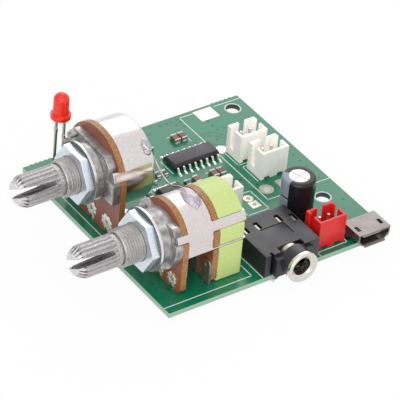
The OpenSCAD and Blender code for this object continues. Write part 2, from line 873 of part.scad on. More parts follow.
// Upper part of that plate, with slanted shoulders
module level_plate_head() {
    x = level_shoulder_x;
    top = level_plate_top;
    polygon([[-x, 0], [-x, top - level_shoulder], [level_shoulder - x, top],
        [x - level_shoulder, top], [x, top - level_shoulder], [x, 0]]);
}
module level_shaft() {
    boss_end = plate_t + level_boss_t;
    color("lightgray") level_axis()
        control_shaft(boss_end + level_bushing_len, boss_end + level_shaft_len, rotor_back);
}
module level_rotor() {
    color("black") level_axis() control_rotor(level_rotor_r, level_stop);
}
module level_wiper() {
    color("goldenrod") level_axis() control_wiper(level_rotor_r);
}
module level_wafer() {
    color("sienna") level_axis()
        control_wafer(level_wafer_r, level_z, level_rivet_z, level_pitch, level_can_r, level_tab);
}
module level_track() {
    color("dimgray") level_axis() control_track(level_rotor_r);
}
module level_terminals() {
    color("silver") level_axis() for (i = [-1:1]) translate([i * level_pitch, 0, 0])
        terminal(level_rivet_z, level_z, level_star_d);
}

// Drawn cup with a rounded rear edge, two tabs and the stop for the rotor
module level_cover() {
    inner_r = level_can_r - sheet_t;
    color("whitesmoke") level_axis() union() {
        translate([0, 0, -wafer_t]) rotate([180, 0, 0]) rotate_extrude() difference() {
            cup_outline(level_can_r, level_can_depth, level_can_round);
            translate([0, -cut])
                cup_outline(inner_r, level_can_depth - sheet_t + cut, level_can_round - sheet_t);
        }
        translate([0, 0, -rotor_back]) linear_extrude(rotor_t)
            ring_sector(level_rotor_r + stop_air, inner_r + sheet_t / 2, level_stop - stop_half,
                level_stop + stop_half);
        cover_tab(level_can_r, level_tab, tab_inner_x[0], -wafer_t - sheet_t);
    }
}

// Half section of a cup that is closed and rounded at its far end
module cup_outline(r, depth, round_r) {
    square([r - round_r, depth]);
    square([r, depth - round_r]);
    translate([r - round_r, depth - round_r]) intersection() {
        circle(round_r);
        square(round_r);
    }
}
module level_washer() {
    color("gainsboro") level_axis() plain_washer(plate_t + level_boss_t);
}
module level_nut() {
    color("aliceblue") level_axis() hex_nut(plate_t + level_boss_t + washer_t);
}

// Switched control: round front plate with a flat top, a lug and a peg
module switch_front_plate() {
    color("silver") switch_axis() {
        difference() {
            front_plate(switch_boss_r, switch_boss_t, switch_bushing_len) difference() {
                union() {
                    intersection() {
                        circle(switch_wafer_r);
                        translate([-switch_wafer_r, -switch_wafer_r])
                            square([2 * switch_wafer_r, switch_wafer_r + switch_plate_top]);
                    }
                    translate([switch_lug[0], 0]) square([switch_lug[1] - switch_lug[0], switch_plate_top]);
                }
                tab_notch(switch_can_r, switch_tab);
            }
            tab_step(switch_can_r, switch_tab, tab_inner_x[1]);
        }
        plate_peg(switch_peg, switch_peg_r);
    }
}
module switch_shaft() {
    boss_end = plate_t + switch_boss_t;
    color("lightgray") switch_axis() union() {
        control_shaft(boss_end + switch_bushing_len, boss_end + switch_shaft_len, rotor_back);
        translate([0, 0, -cam_back]) cylinder(r = cam_neck_r, h = cam_back);
    }
}
module switch_rotor() {
    color("black") switch_axis() control_rotor(switch_rotor_r, switch_stop);
}
module switch_wiper() {
    color("goldenrod") switch_axis() control_wiper(switch_rotor_r);
}
module switch_wafer() {
    color("sienna") switch_axis()
        control_wafer(switch_wafer_r, switch_z, switch_rivet_z, switch_pitch, switch_can_r, switch_tab);
}
module switch_track() {
    color("dimgray") switch_axis() control_track(switch_rotor_r);
}
module switch_terminals() {
    color("silver") switch_axis() for (i = [-1:1]) translate([i * switch_pitch, 0, 0])
        terminal(switch_rivet_z, switch_z, switch_star_d);
}

// Bent cover that is open below, with lips, side straps that clasp the switch, and the stop
module switch_cover() {
    inner_r = switch_can_r - sheet_t;
    color("whitesmoke") switch_axis() union() {
        translate([0, 0, -base_back]) linear_extrude(switch_can_depth) difference() {
            union() {
                circle(switch_can_r);
                translate([-switch_can_r, -switch_can_drop]) square([2 * switch_can_r, switch_can_drop]);
            }
            circle(inner_r);
            translate([-inner_r, sheet_t - switch_can_drop]) square([2 * inner_r, switch_can_drop]);
            translate([lip_w - switch_can_r, -2 * switch_can_r])
                square([2 * (switch_can_r - lip_w), 2 * switch_can_r]);
            translate([-2 * switch_can_r, -switch_can_drop - 2 * switch_can_r])
                square([4 * switch_can_r, 2 * switch_can_r]);
        }
        for (s = [0, 1]) mirror([s, 0, 0]) {
            translate([0, 0, -strap_back]) linear_extrude(strap_back - base_back + sheet_t)
                intersection() {
                    difference() {
                        circle(switch_can_r);
                        circle(inner_r);
                    }
                    translate([0, strap_band[0]])
                        square([2 * switch_can_r, strap_band[1] - strap_band[0]]);
                }
            translate([0, 0, -strap_back]) linear_extrude(sheet_t) intersection() {
                circle(switch_can_r);
                translate([strap_fold_x, strap_band[0]])
                    square([switch_can_r, strap_band[1] - strap_band[0]]);
            }
            block([switch_can_r - lip_w, -switch_can_drop, -strap_back],
                [switch_can_r, sheet_t - switch_can_drop, sheet_t - base_back]);
        }
        translate([0, 0, -rotor_back]) linear_extrude(rotor_t)
            ring_sector(switch_rotor_r + stop_air, inner_r + sheet_t / 2, switch_stop - stop_half,
                switch_stop + stop_half);
        cover_tab(switch_can_r, switch_tab, tab_inner_x[1], -wafer_t - sheet_t);
    }
}
module switch_washer() {
    color("gainsboro") switch_axis() plain_washer(plate_t + switch_boss_t);
}
module switch_nut() {
    color("aliceblue") switch_axis() hex_nut(plate_t + switch_boss_t + washer_t);
}

// Room for the cover's straps and lips in the switch base and housing
module strap_room() {
    tab_notch(switch_can_r, strap_band);
    for (s = [0, 1]) mirror([s, 0, 0])
        translate([switch_can_r - lip_w - tab_room, -switch_can_drop - tab_room])
            square([switch_can_r, sheet_t + 2 * tab_room]);
}

// Phenolic base between the control and its switch
module switch_base() {
    color("sienna") switch_axis() translate([0, 0, -housing_front]) linear_extrude(wafer_t)
        difference() {
            wafer_outline(switch_wafer_r, switch_z);
            circle(cam_neck_r + neck_room);
            strap_room();
            for (x = [blade_left, blade_right])
                translate([x, blade_hole_z - switch_z]) circle(blade_rivet_r + seat_gap);
        }
}

// Moulded switch housing: a drum over a block, grooved for the straps and hollow for the works
module switch_housing() {
    low = wafer_lift - switch_z;
    drum_cavity_r = housing_r - housing_wall - sheet_t - tab_room;
    block_half = switch_can_r;
    color("yellowgreen") switch_axis() difference() {
        translate([0, 0, -housing_front - housing_depth]) linear_extrude(housing_depth) difference() {
            union() {
                circle(housing_r);
                translate([-housing_r, -switch_can_drop]) square([2 * housing_r, switch_can_drop]);
                translate([-block_half, low]) square([2 * block_half, -low - switch_can_drop]);
            }
            strap_room();
        }
        translate([0, 0, -housing_front - cavity_depth]) linear_extrude(cavity_depth + cut) {
            circle(drum_cavity_r);
            translate([housing_wall - block_half, low + housing_wall])
                square([2 * (block_half - housing_wall), works_h]);
        }
        for (x = [blade_left, blade_right])
            translate([x, blade_hole_z - switch_z, -housing_front - head_t - seat_gap])
                cylinder(r = head_r + seat_gap, h = head_t + seat_gap + cut);
    }
}

// Switch terminals: blades in front of the base, riveted through it to the fixed contacts
module switch_blades() {
    rivet_y = blade_hole_z - switch_z;
    color("silver") switch_axis() for (x = [blade_left, blade_right]) translate([x, 0, -base_back])
        difference() {
            union() {
                translate([0, rivet_y, 0]) cylinder(d = blade_w, h = terminal_t);
                block([-blade_w / 2, wafer_lift - switch_z, 0], [blade_w / 2, rivet_y, terminal_t]);
                block([-pin_w / 2, lead_end - switch_z, 0], [pin_w / 2, rivet_y, terminal_t]);
                translate([0, rivet_y, -wafer_t - head_t]) cylinder(r = blade_rivet_r, h = wafer_t + head_t);
                translate([0, rivet_y, -wafer_t - head_t]) cylinder(r = head_r, h = head_t);
            }
            translate([0, rivet_y, -cut]) cylinder(r = blade_hole_r, h = terminal_t + 2 * cut);
        }
}

// Contact leaf in the housing: fixed on one contact, held off the other
module switch_leaf() {
    rivet_y = blade_hole_z - switch_z;
    low = rivet_y - leaf_half;
    high = rivet_y + leaf_half;
    bend_x = blade_right - head_r;
    color("goldenrod") switch_axis() translate([0, 0, -housing_front - head_t]) {
        block([blade_left - head_r, low, -spring_t], [bend_x, high, 0]);
        block([bend_x - spring_t, low, -3 * spring_t], [bend_x, high, -spring_t]);
        block([bend_x, low, -3 * spring_t], [blade_right - leaf_reach, high, -2 * spring_t]);
    }
}

// Cam on the shaft's end that flips the switch
module switch_cam() {
    color("ivory") switch_axis() translate([0, 0, -cam_back]) linear_extrude(cam_t) difference() {
        union() {
            circle(cam_r);
            ring_sector(cam_neck_r, cam_tip_r, cam_from, cam_to);
        }
        circle(cam_neck_r + seat_gap);
    }
}

// Swept tube along a list of points
function unit(v) = v / norm(v);
function heading(r, i) = unit(r[min(i + 1, len(r) - 1)] - r[max(i - 1, 0)]);
function side_of(h) = unit(cross(h, [0, 0, 1]));
function tube_ring(r, i, rad, n) = let (h = heading(r, i), s = side_of(h), u = cross(s, h))
    [for (k = [0:n - 1]) r[i] + rad * (cos(360 * k / n) * s + sin(360 * k / n) * u)];
function tube_skin(rings, n) = [for (i = [0:rings - 2], k = [0:n - 1])
    [i * n + k, i * n + (k + 1) % n, (i + 1) * n + (k + 1) % n, (i + 1) * n + k]];
module tube(r, rad, n) {
    rings = len(r);
    polyhedron(
        points = [for (i = [0:rings - 1]) each tube_ring(r, i, rad, n)],
        faces = concat([[for (k = [n - 1:-1:0]) k]], tube_skin(rings, n),
            [[for (k = [0:n - 1]) (rings - 1) * n + k]]));
}

// Point between four route points, so that the wire bends smoothly
function bend(a, b, c, d, t) = 0.5 * (2 * b + (c - a) * t + (2 * a - 5 * b + 4 * c - d) * t * t
    + (3 * b - a - 3 * c + d) * t * t * t);
function smooth(r, n) = concat([for (i = [0:len(r) - 2], k = [0:n - 1])
    bend(r[max(i - 1, 0)], r[i], r[i + 1], r[min(i + 2, len(r) - 1)], k / n)], [r[len(r) - 1]]);

// Bare tinned wire that grounds both covers
module ground_wire() {
    color("silver") on_board() tube(smooth(wire_route, wire_steps), wire_d / 2, wire_sides);
}

// Solder that holds the wire on both covers
module ground_solder() {
    color("lightsteelblue") on_board() difference() {
        union() {
            translate(level_blob) sphere(r = level_blob_r);
            for (p = switch_blobs) translate(p) sphere(r = switch_blob_r);
        }
        translate([level_x, level_y, level_z]) rotate([90, 0, 0]) translate([0, 0, -wafer_t])
            rotate([180, 0, 0]) rotate_extrude()
                cup_outline(level_can_r, level_can_depth, level_can_round);
        translate([switch_x, switch_y + base_back + switch_blob_r, switch_z]) rotate([90, 0, 0])
            cylinder(r = switch_can_r, h = switch_can_depth + switch_blob_r);
        tube(smooth(wire_route, wire_steps), wire_d / 2 + joint_gap, wire_sides);
    }
}

// Lamp: a domed lens with a flange that is flat on one side, over two square leads
module led_lens() {
    seat = led_lead + 2 * joint_gap;
    color("tomato") on_board() translate([led_pos[0], led_pos[1], led_z]) difference() {
        union() {
            intersection() {
                cylinder(d = led_flange_d, h = led_flange_t);
                block([-led_flange_d, -led_flange_d, 0],
                    [led_d / 2 + led_flat, led_flange_d, led_flange_t]);
            }
            cylinder(d = led_d, h = led_h - led_d / 2);
            translate([0, 0, led_h - led_d / 2]) sphere(d = led_d);
        }
        for (s = [-1, 1]) translate([s * led_pitch / 2 - seat / 2, -seat / 2, -cut])
            cube([seat, seat, cut + led_flange_t / 2]);
    }
}
module led_leads() {
    color("silver") on_board() for (p = led_pins) union() {
        lead_prism(p, 0, lead_end, led_z + led_flange_t / 2 - joint_gap);
        translate([p[0] - led_bar_w / 2, p[1] - led_lead / 2, led_z - led_bar_drop])
            cube([led_bar_w, led_lead, led_bar_h]);
    }
}

// Chip body with bevelled sides, between two rows of leads along Y
module chip_body(pos, pairs) {
    l = pairs * chip_pitch - chip_short;
    mid = (chip_top + chip_gap) / 2;
    translate([pos[0], pos[1], 0]) hull() {
        translate([-chip_w / 2, -l / 2, mid - chip_parting / 2]) cube([chip_w, l, chip_parting]);
        translate([chip_bevel - chip_w / 2, chip_bevel / 2 - l / 2, chip_gap])
            cube([chip_w - 2 * chip_bevel, l - chip_bevel, chip_top - chip_gap]);
    }
}

// Gull-wing leads of a chip
module chip_leads(pos, pairs) {
    t = chip_lead_t;
    root = chip_w / 2 + joint_gap;
    knee = chip_w / 2 + chip_knee;
    heel = knee + t / 2;
    toe = chip_span / 2;
    low = (chip_top + chip_gap - chip_parting) / 2;
    translate([pos[0], pos[1], 0]) for (s = [0, 1], i = [0:pairs - 1]) mirror([s, 0, 0])
        translate([0, (i - (pairs - 1) / 2) * chip_pitch + chip_lead_w / 2, 0]) rotate([90, 0, 0])
            linear_extrude(chip_lead_w) polygon([[root, low], [knee - t, low], [heel, 0], [toe, 0],
                [toe, t], [heel + t, t], [knee, low + t], [root, low + t]]);
}
module amplifier_chip() {
    color("dimgray") on_board() chip_body(amplifier_pos, amplifier_pairs);
}
module amplifier_chip_leads() {
    color("silver") on_board() chip_leads(amplifier_pos, amplifier_pairs);
}
module preamp_chip() {
    color("dimgray") on_board() chip_body(preamp_pos, preamp_pairs);
}
module preamp_chip_leads() {
    color("silver") on_board() chip_leads(preamp_pos, preamp_pairs);
}

// Chip parts lie along X: a body between two metal ends
module chip_middles(places, l, w, h) {
    for (p = places)
        translate([p[0] - l / 2 + chip_end, p[1] - w / 2, 0]) cube([l - 2 * chip_end, w, h]);
}
module chip_ends(places, l, w, h) {
    for (p = places, s = [-l / 2, l / 2 - chip_end])
        translate([p[0] + s, p[1] - w / 2, 0]) cube([chip_end, w, h]);
}
module chip_capacitors() {
    color("saddlebrown") on_board() chip_middles(cap_chips, cap_chip_l, cap_chip_w, cap_chip_h);
}
module chip_capacitor_ends() {
    color("silver") on_board() chip_ends(cap_chips, cap_chip_l, cap_chip_w, cap_chip_h);
}
module chip_resistors() {
    color("black") on_board() chip_middles(res_chips, res_chip_l, res_chip_w, res_chip_h);
}
module chip_resistor_ends() {
    color("silver") on_board() chip_ends(res_chips, res_chip_l, res_chip_w, res_chip_h);
}

// Header shell: an open box with a slot in each end wall and one in the left wall
module header_shell(p) {
    w = header_w / 2;
    l = header_l / 2;
    row = header_row - w;
    on_board() translate([p[0], p[1], 0]) difference() {
        block([-w, -l, 0], [w, l, header_h]);
        block([header_wall - w, header_wall - l, header_floor],
            [w - header_wall, l - header_wall, header_h + cut]);
        block([row - header_slot / 2, -l - cut, header_floor],
            [row + header_slot / 2, l + cut, header_h + cut]);
        block([-w - cut, -header_gate / 2, header_floor + header_sill],
            [0, header_gate / 2, header_h + cut]);
        for (y = [-header_foot_y, header_foot_y])
            block([-w - cut, y - header_foot_w / 2, -cut], [w + cut, y + header_foot_w / 2, header_foot]);
        for (y = [-header_pitch / 2, header_pitch / 2])
            lead_prism([row, y, header_pin, header_pin], joint_gap, 0, header_h);
    }
}
module header_pair(p) {
    on_board() for (q = header_pins(p)) lead_prism(q, 0, lead_end, header_pin_top);
}
module header_left() {
    color("whitesmoke") header_shell(left_header);
}
module header_left_pins() {
    color("silver") header_pair(left_header);
}
module header_middle() {
    color("whitesmoke") header_shell(middle_header);
}
module header_middle_pins() {
    color("silver") header_pair(middle_header);
}
module header_inner() {
    color("whitesmoke") header_shell(inner_header);
}
module header_inner_pins() {
    color("silver") header_pair(inner_header);
}
module header_red() {
    color("firebrick") header_shell(red_header);
}
module header_red_pins() {
    color("silver") header_pair(red_header);
}

// Cylinder along the jack's bore
module along_bore(r, from, to) {
    translate([from, jack_y, jack_axis_z]) rotate([0, 90, 0]) cylinder(r = r, h = to - from);
}

// Jack housing: a block with a stepped front and a round nose, bored for the plug,
// slotted from the top for its contacts
module jack_body() {
    y0 = jack_y - jack_w / 2;
    y1 = jack_y + jack_w / 2;
    step_y = jack_y - jack_step_half;
    seam_low = jack_h - jack_seam;
    window_back = jack_front - jack_window[0];
    window_front = jack_front - jack_window[1];
    window_y = jack_y - jack_window_half;
    slot_top = jack_axis_z + spring_slot;
    slot_x = jack_tail_w / 2 + seat_gap;
    slot_y = sleeve_pin[1] - jack_sheet / 2 - seat_gap;
    color("dimgray") on_board() difference() {
        union() {
            block([jack_back, y0, 0], [jack_front, y1, jack_h]);
            block([jack_front - cut, step_y, 0],
                [jack_front + jack_step, jack_y + jack_step_half, jack_h - jack_step_drop]);
            along_bore(jack_nose_r, jack_front, jack_front + jack_nose_len);
        }
        along_bore(jack_bore_d / 2 + jack_chamber_room, jack_back + jack_end_wall, window_front);
        along_bore(jack_bore_d / 2, window_front - cut, jack_front + jack_nose_len + cut);
        block([jack_front - jack_groove_in, step_y - jack_groove, -cut],
            [jack_front + cut, step_y, jack_h + cut]);
        for (s = jack_slots) jack_pocket(s);
        block([window_back, window_y, jack_axis_z - jack_window_low],
            [window_front, jack_y + jack_window_half, jack_h + cut]);
        lead_prism(sleeve_pin, seat_gap, -cut, slot_top);
        block([sleeve_pin[0] - slot_x, slot_y, jack_axis_z - seat_gap],
            [sleeve_pin[0] + slot_x, window_y + cut, slot_top]);
        block([jack_seam_x, jack_seam_y[0], seam_low],
            [jack_seam_x + jack_seam, jack_seam_y[1], jack_h + cut]);
        block([jack_seam_x, jack_seam_y[1] - jack_seam, seam_low],
            [jack_seam_x + jack_seam_l, jack_seam_y[1], jack_h + cut]);
    }
}

// Pocket of one contact, with a window to the bore for those beside it
module jack_pocket(s) {
    x = jack_back + s[0];
    y = jack_y + s[1];
    l = jack_slot_l / 2;
    w = jack_slot_w / 2;
    block([x - l, y - w, -cut], [x + l, y + w, jack_h + cut]);
    if (abs(s[1]) < jack_bore_d)
        block([x - l, min(y, jack_y), jack_axis_z - jack_port_half],
            [x + l, max(y, jack_y), jack_axis_z + jack_port_half]);
}

// Plated ring on the end of the nose
module jack_ring() {
    start = jack_front + jack_nose_len;
    color("gainsboro") on_board() difference() {
        along_bore(jack_ring_r, start, start + jack_ring_len);
        along_bore(jack_bore_d / 2, start - cut, start + jack_ring_len + cut);
    }
}

// Sleeve spring: an arch over the bore in the front window, with a tail to the board
module jack_sleeve_spring() {
    x0 = sleeve_pin[0] - jack_tail_w / 2;
    x1 = sleeve_pin[0] + jack_tail_w / 2;
    arch_r = jack_bore_d / 2 + spring_gap;
    arch_end = jack_y - arch_r - jack_sheet;
    color("silver") on_board() union() {
        difference() {
            along_bore(arch_r + jack_sheet, x0, x1);
            along_bore(arch_r, x0 - cut, x1 + cut);
            block([x0 - cut, jack_y - 2 * arch_r, -jack_h], [x1 + cut, jack_y + 2 * arch_r, jack_axis_z]);
        }
        block([x0, sleeve_pin[1] - jack_sheet / 2, jack_axis_z],
            [x1, arch_end + tail_lap, jack_axis_z + jack_sheet]);
        lead_prism(sleeve_pin, 0, lead_end, jack_axis_z + jack_sheet);
    }
}

// Tip, ring and switch contacts: upright blades, those beside the bore with a nib into it
module jack_contacts() {
    color("silver") on_board() for (i = [0:len(jack_slots) - 1]) union() {
        p = jack_pins[i];
        offset_y = p[1] - jack_y;
        reach = abs(offset_y) - jack_bore_d / 2 + nib_reach;
        lead_prism([p[0], p[1], jack_blade_w, jack_sheet], 0, contact_foot, jack_h - jack_top_gap);
        lead_prism(p, 0, lead_end, contact_foot);
        if (abs(offset_y) < jack_bore_d)
            translate([p[0], p[1], jack_axis_z]) rotate([90 * sign(offset_y), 0, 0])
                cylinder(r1 = nib_r, r2 = nib_tip_r, h = reach);
    }
}

// Front outline of the power socket's shell: wide above, narrow below
module usb_outline(inset) {
    w = usb_w / 2 - inset;
    f = usb_foot_half - inset * usb_bend;
    polygon([[-w, usb_h - inset], [-w, usb_shoulder], [-f, inset], [f, inset], [w, usb_shoulder],
        [w, usb_h - inset]]);
}
module along_usb(from, to) {
    translate([from, usb_y, 0]) rotate([90, 0, 90]) linear_extrude(to - from) children();
}

// Folded steel shell with flared lips, two top slots and two legs
module usb_shell() {
    color("silver") on_board() difference() {
        union() {
            along_usb(usb_back, usb_front) difference() {
                usb_outline(0);
                usb_outline(usb_sheet);
            }
            usb_flare(usb_h - usb_sheet, usb_w / 2 - usb_lip_in, -usb_lip_angle);
            usb_flare(0, usb_foot_half - usb_sill_in, usb_lip_angle);
            for (p = usb_legs) lead_prism(p, 0, lead_end, usb_shoulder + usb_leg_root);
        }
        for (y = [usb_y - usb_slot_y, usb_y + usb_slot_y])
            block([usb_front - usb_slot_x[0], y - usb_slot_half, usb_h - 2 * usb_sheet],
                [usb_front - usb_slot_x[1], y + usb_slot_half, usb_h + cut]);
    }
}

// One flared lip at the mouth of the shell
module usb_flare(z, half, angle) {
    translate([usb_front, usb_y, z]) rotate([0, angle, 0]) translate([-usb_lip_root, -half, 0])
        cube([usb_lip + usb_lip_root, 2 * half, usb_sheet]);
}

// Insulator: a block that fills the shell's rear, with the tongue in front of it
module usb_insulator() {
    z = usb_tongue_z;
    color("black") on_board() difference() {
        union() {
            along_usb(usb_back + usb_block_in, usb_back + usb_block_l) usb_outline(usb_sheet + seat_gap);
            block([usb_back + usb_block_in, usb_y - usb_tongue_w / 2, z],
                [usb_front - usb_tongue_in, usb_y + usb_tongue_w / 2, z + usb_tongue_t]);
        }
        for (i = [0:usb_pins - 1]) usb_pin(i, joint_gap);
    }
}

// One flat contact under the tongue that runs out behind the shell
module usb_pin(i, room) {
    y = usb_y + (i - (usb_pins - 1) / 2) * usb_pin_pitch;
    half = usb_pin_w / 2 + room;
    tail_x = usb_back - usb_tail_out;
    top = usb_tongue_z + usb_pin_t + room;
    block([tail_x, y - half, usb_tongue_z - room], [usb_front - usb_pin_in, y + half, top]);
    block([tail_x, y - half, usb_tail_lift], [tail_x + usb_pin_t, y + half, top]);
}
module usb_contacts() {
    color("goldenrod") on_board() for (i = [0:usb_pins - 1]) usb_pin(i, 0);
}

// Capacitor: a drawn can in a shrunk sleeve, closed below with rubber
module capacitor_can() {
    r = cap_r;
    z = cap_crimp_z;
    top = cap_h - cap_sleeve_t;
    color("silver") on_board() translate([cap_x, cap_y, cap_lift]) difference() {
        rotate_extrude() polygon([[0, 0], [r, 0], [r, z[0]], [r - cap_crimp, z[1]], [r, z[2]],
            [r, top - cap_shoulder], [r - cap_shoulder, top], [0, top]]);
        translate([0, 0, -cut]) cylinder(r = r - cap_wall, h = cap_bung_t + cut);
    }
}
module capacitor_sleeve() {
    r = cap_r;
    t = cap_sleeve_t;
    mouth = r - cap_rim;
    color("black") on_board() translate([cap_x, cap_y, cap_lift]) rotate_extrude()
        polygon([[r, 0], [r + t, 0], [r + t, cap_h - cap_shoulder - t], [r - cap_shoulder, cap_h],
            [mouth, cap_h], [mouth, cap_h - t], [r - cap_shoulder, cap_h - t],
            [r, cap_h - t - cap_shoulder]]);
}
module capacitor_bung() {
    color("darkslategray") on_board() difference() {
        translate([cap_x, cap_y, cap_lift])
            cylinder(r = cap_r - cap_wall - seat_gap, h = cap_bung_t - seat_gap);
        for (p = cap_pins) lead_prism(p, joint_gap, 0, cap_lift + cap_bung_t + cut);
    }
}
module capacitor_leads() {
    color("silver") on_board() for (p = cap_pins)
        lead_prism(p, 0, lead_end, cap_lift + cap_bung_t - 2 * seat_gap);
}

circuit_board();
solder_joints();
level_front_plate();
level_shaft();
level_rotor();
level_wiper();
level_wafer();
level_track();
level_terminals();
level_cover();
level_washer();
level_nut();
switch_front_plate();
switch_shaft();
switch_rotor();
switch_wiper();
switch_wafer();
switch_track();
switch_terminals();
switch_cover();
switch_washer();
switch_nut();
switch_base();
switch_housing();
switch_blades();
switch_leaf();
switch_cam();
ground_wire();
ground_solder();
led_lens();
led_leads();
amplifier_chip();
amplifier_chip_leads();
preamp_chip();
preamp_chip_leads();
chip_capacitors();
chip_capacitor_ends();
chip_resistors();
chip_resistor_ends();
header_left();
header_left_pins();
header_middle();
header_middle_pins();
header_inner();
header_inner_pins();
header_red();
header_red_pins();
jack_body();
jack_ring();
jack_sleeve_spring();
jack_contacts();
usb_shell();
usb_insulator();
usb_contacts();
capacitor_can();
capacitor_sleeve();
capacitor_bung();
capacitor_leads();
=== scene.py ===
import math

import bmesh
import bpy
from mathutils import Matrix, Vector, noise


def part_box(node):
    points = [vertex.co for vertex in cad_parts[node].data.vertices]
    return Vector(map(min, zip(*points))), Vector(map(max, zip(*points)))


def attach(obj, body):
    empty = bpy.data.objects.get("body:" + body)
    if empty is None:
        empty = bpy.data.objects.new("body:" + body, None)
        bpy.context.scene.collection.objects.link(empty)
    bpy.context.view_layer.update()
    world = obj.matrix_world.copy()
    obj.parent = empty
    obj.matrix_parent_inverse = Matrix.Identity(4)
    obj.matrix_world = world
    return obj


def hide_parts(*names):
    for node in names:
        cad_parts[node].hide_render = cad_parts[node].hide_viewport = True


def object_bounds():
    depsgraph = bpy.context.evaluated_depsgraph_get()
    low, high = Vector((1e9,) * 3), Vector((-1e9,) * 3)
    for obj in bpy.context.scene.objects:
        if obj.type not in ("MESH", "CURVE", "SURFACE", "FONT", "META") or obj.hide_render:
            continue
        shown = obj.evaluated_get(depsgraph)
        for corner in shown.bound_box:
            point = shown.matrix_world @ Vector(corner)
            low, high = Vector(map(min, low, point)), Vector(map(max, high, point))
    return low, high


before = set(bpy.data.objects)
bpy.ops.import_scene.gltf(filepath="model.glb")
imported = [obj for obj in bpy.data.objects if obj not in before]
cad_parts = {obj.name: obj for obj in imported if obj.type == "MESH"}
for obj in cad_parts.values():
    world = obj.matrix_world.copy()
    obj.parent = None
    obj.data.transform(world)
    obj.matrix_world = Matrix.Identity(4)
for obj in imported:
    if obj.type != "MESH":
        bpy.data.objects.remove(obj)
cad_box = [list(corner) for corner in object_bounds()]


# View of the photograph: a long lens looks down on the board from its right front corner.
# Places are in millimetres from the middle of the board's top face, which the frame gives.
MM = 0.001
scene = bpy.context.scene
scene.view_settings.view_transform = "Standard"
board_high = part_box("circuit_board")[1]
board_half = 24 * MM
middle = Vector((board_high.x - board_half, board_high.y - board_half, board_high.z))
view_turn = math.radians(52.2465)
view_rise = math.radians(37.1064)
view_roll = math.radians(5.3923)
view_distance = 531.1 * MM
view_aside = -0.867 * MM
view_lift = -0.18 * MM
focal_pixels = 2923.24
image_pixels = 400

along = Vector((math.cos(view_turn), math.sin(view_turn), 0))
toward = Vector((along.y * math.cos(view_rise), -along.x * math.cos(view_rise), math.sin(view_rise)))
above = toward.cross(along)
view_right = along * math.cos(view_roll) + above * math.sin(view_roll)
view_up = above * math.cos(view_roll) - along * math.sin(view_roll)
view_from = middle + toward * view_distance + view_right * view_aside + view_up * view_lift

lens = bpy.data.cameras.new("lens")
lens.sensor_width = 36
lens.lens = focal_pixels * lens.sensor_width / image_pixels
lens.clip_start = 10 * MM
lens.clip_end = 20
camera = bpy.data.objects.new("camera", lens)
camera.matrix_world = Matrix((view_right, view_up, toward)).transposed().to_4x4()
camera.matrix_world.translation = view_from
scene.collection.objects.link(camera)
scene.camera = camera


# Studio: a white sweep, one large softbox overhead, one beside the lens, and one behind the board
# and opposite the lens, whose gloss lies as a pale veil on every level face.
surround_light = 0.66
surround_seen = 1.0
floor_half = 3.0
floor_white = 0.86
floor_glow = 0.95


def seen_by_lens(nodes, links):
    """Socket that is 1 for rays from the lens, from gloss and through glass."""
    path = nodes.new("ShaderNodeLightPath")
    total = None
    for ray in ("Is Camera Ray", "Is Glossy Ray", "Is Transmission Ray"):
        if total is None:
            total = path.outputs[ray]
            continue
        either = nodes.new("ShaderNodeMath")
        either.operation = "MAXIMUM"
        links.new(total, either.inputs[0])
        links.new(path.outputs[ray], either.inputs[1])
        total = either.outputs[0]
    return total


world = bpy.data.worlds.new("white surround")
world.use_nodes = True
scene.world = world
sky = world.node_tree.nodes
sky_links = world.node_tree.links
sky.clear()
lighting = sky.new("ShaderNodeBackground")
lighting.inputs["Strength"].default_value = surround_light
backdrop = sky.new("ShaderNodeBackground")
backdrop.inputs["Strength"].default_value = surround_seen
for shade in (lighting, backdrop):
    shade.inputs["Color"].default_value = (1, 1, 1, 1)
choice = sky.new("ShaderNodeMixShader")
sky_links.new(seen_by_lens(sky, sky_links), choice.inputs["Fac"])
sky_links.new(lighting.outputs[0], choice.inputs[1])
sky_links.new(backdrop.outputs[0], choice.inputs[2])
sky_links.new(choice.outputs[0], sky.new("ShaderNodeOutputWorld").inputs["Surface"])


def softbox(name, direction, distance, size, brightness):
    """Square lamp that faces the board; brightness is how white its face looks."""
    lamp = bpy.data.lights.new(name, "AREA")
    lamp.shape = "SQUARE"
    lamp.size = size
    lamp.energy = brightness * math.pi * size * size
    holder = bpy.data.objects.new(name, lamp)
    facing = Vector(direction).normalized()
    holder.matrix_world = facing.to_track_quat("Z", "Y").to_matrix().to_4x4()
    holder.matrix_world.translation = middle + facing * distance
    scene.collection.objects.link(holder)


softbox("rear softbox", (-toward.x, -toward.y, toward.z), distance=0.6, size=0.5, brightness=1.3)
softbox("top softbox", (0.15, -0.3, 1.0), distance=0.7, size=0.6, brightness=0.6)
softbox("lens softbox", (toward.x, toward.y, 0.45), distance=0.8, size=0.8, brightness=1.6)

sweep = bmesh.new()
bmesh.ops.create_grid(sweep, x_segments=2, y_segments=2, size=floor_half)
bmesh.ops.translate(sweep, verts=sweep.verts, vec=(middle.x, middle.y, cad_box[0][2]))
sweep_mesh = bpy.data.meshes.new("floor")
sweep.to_mesh(sweep_mesh)
sweep.free()
floor = bpy.data.objects.new("floor", sweep_mesh)
scene.collection.objects.link(floor)
paper = bpy.data.materials.new("white paper")
paper.use_nodes = True
paper_nodes = paper.node_tree.nodes
paper_links = paper.node_tree.links
paper_nodes.clear()
matte = paper_nodes.new("ShaderNodeBsdfDiffuse")
matte.inputs["Color"].default_value = (floor_white, floor_white, floor_white, 1)
glow = paper_nodes.new("ShaderNodeEmission")
share = paper_nodes.new("ShaderNodeMath")
share.operation = "MULTIPLY"
share.inputs[1].default_value = floor_glow
paper_links.new(seen_by_lens(paper_nodes, paper_links), share.inputs[0])
paper_mix = paper_nodes.new("ShaderNodeMixShader")
paper_links.new(share.outputs[0], paper_mix.inputs["Fac"])
paper_links.new(matte.outputs[0], paper_mix.inputs[1])
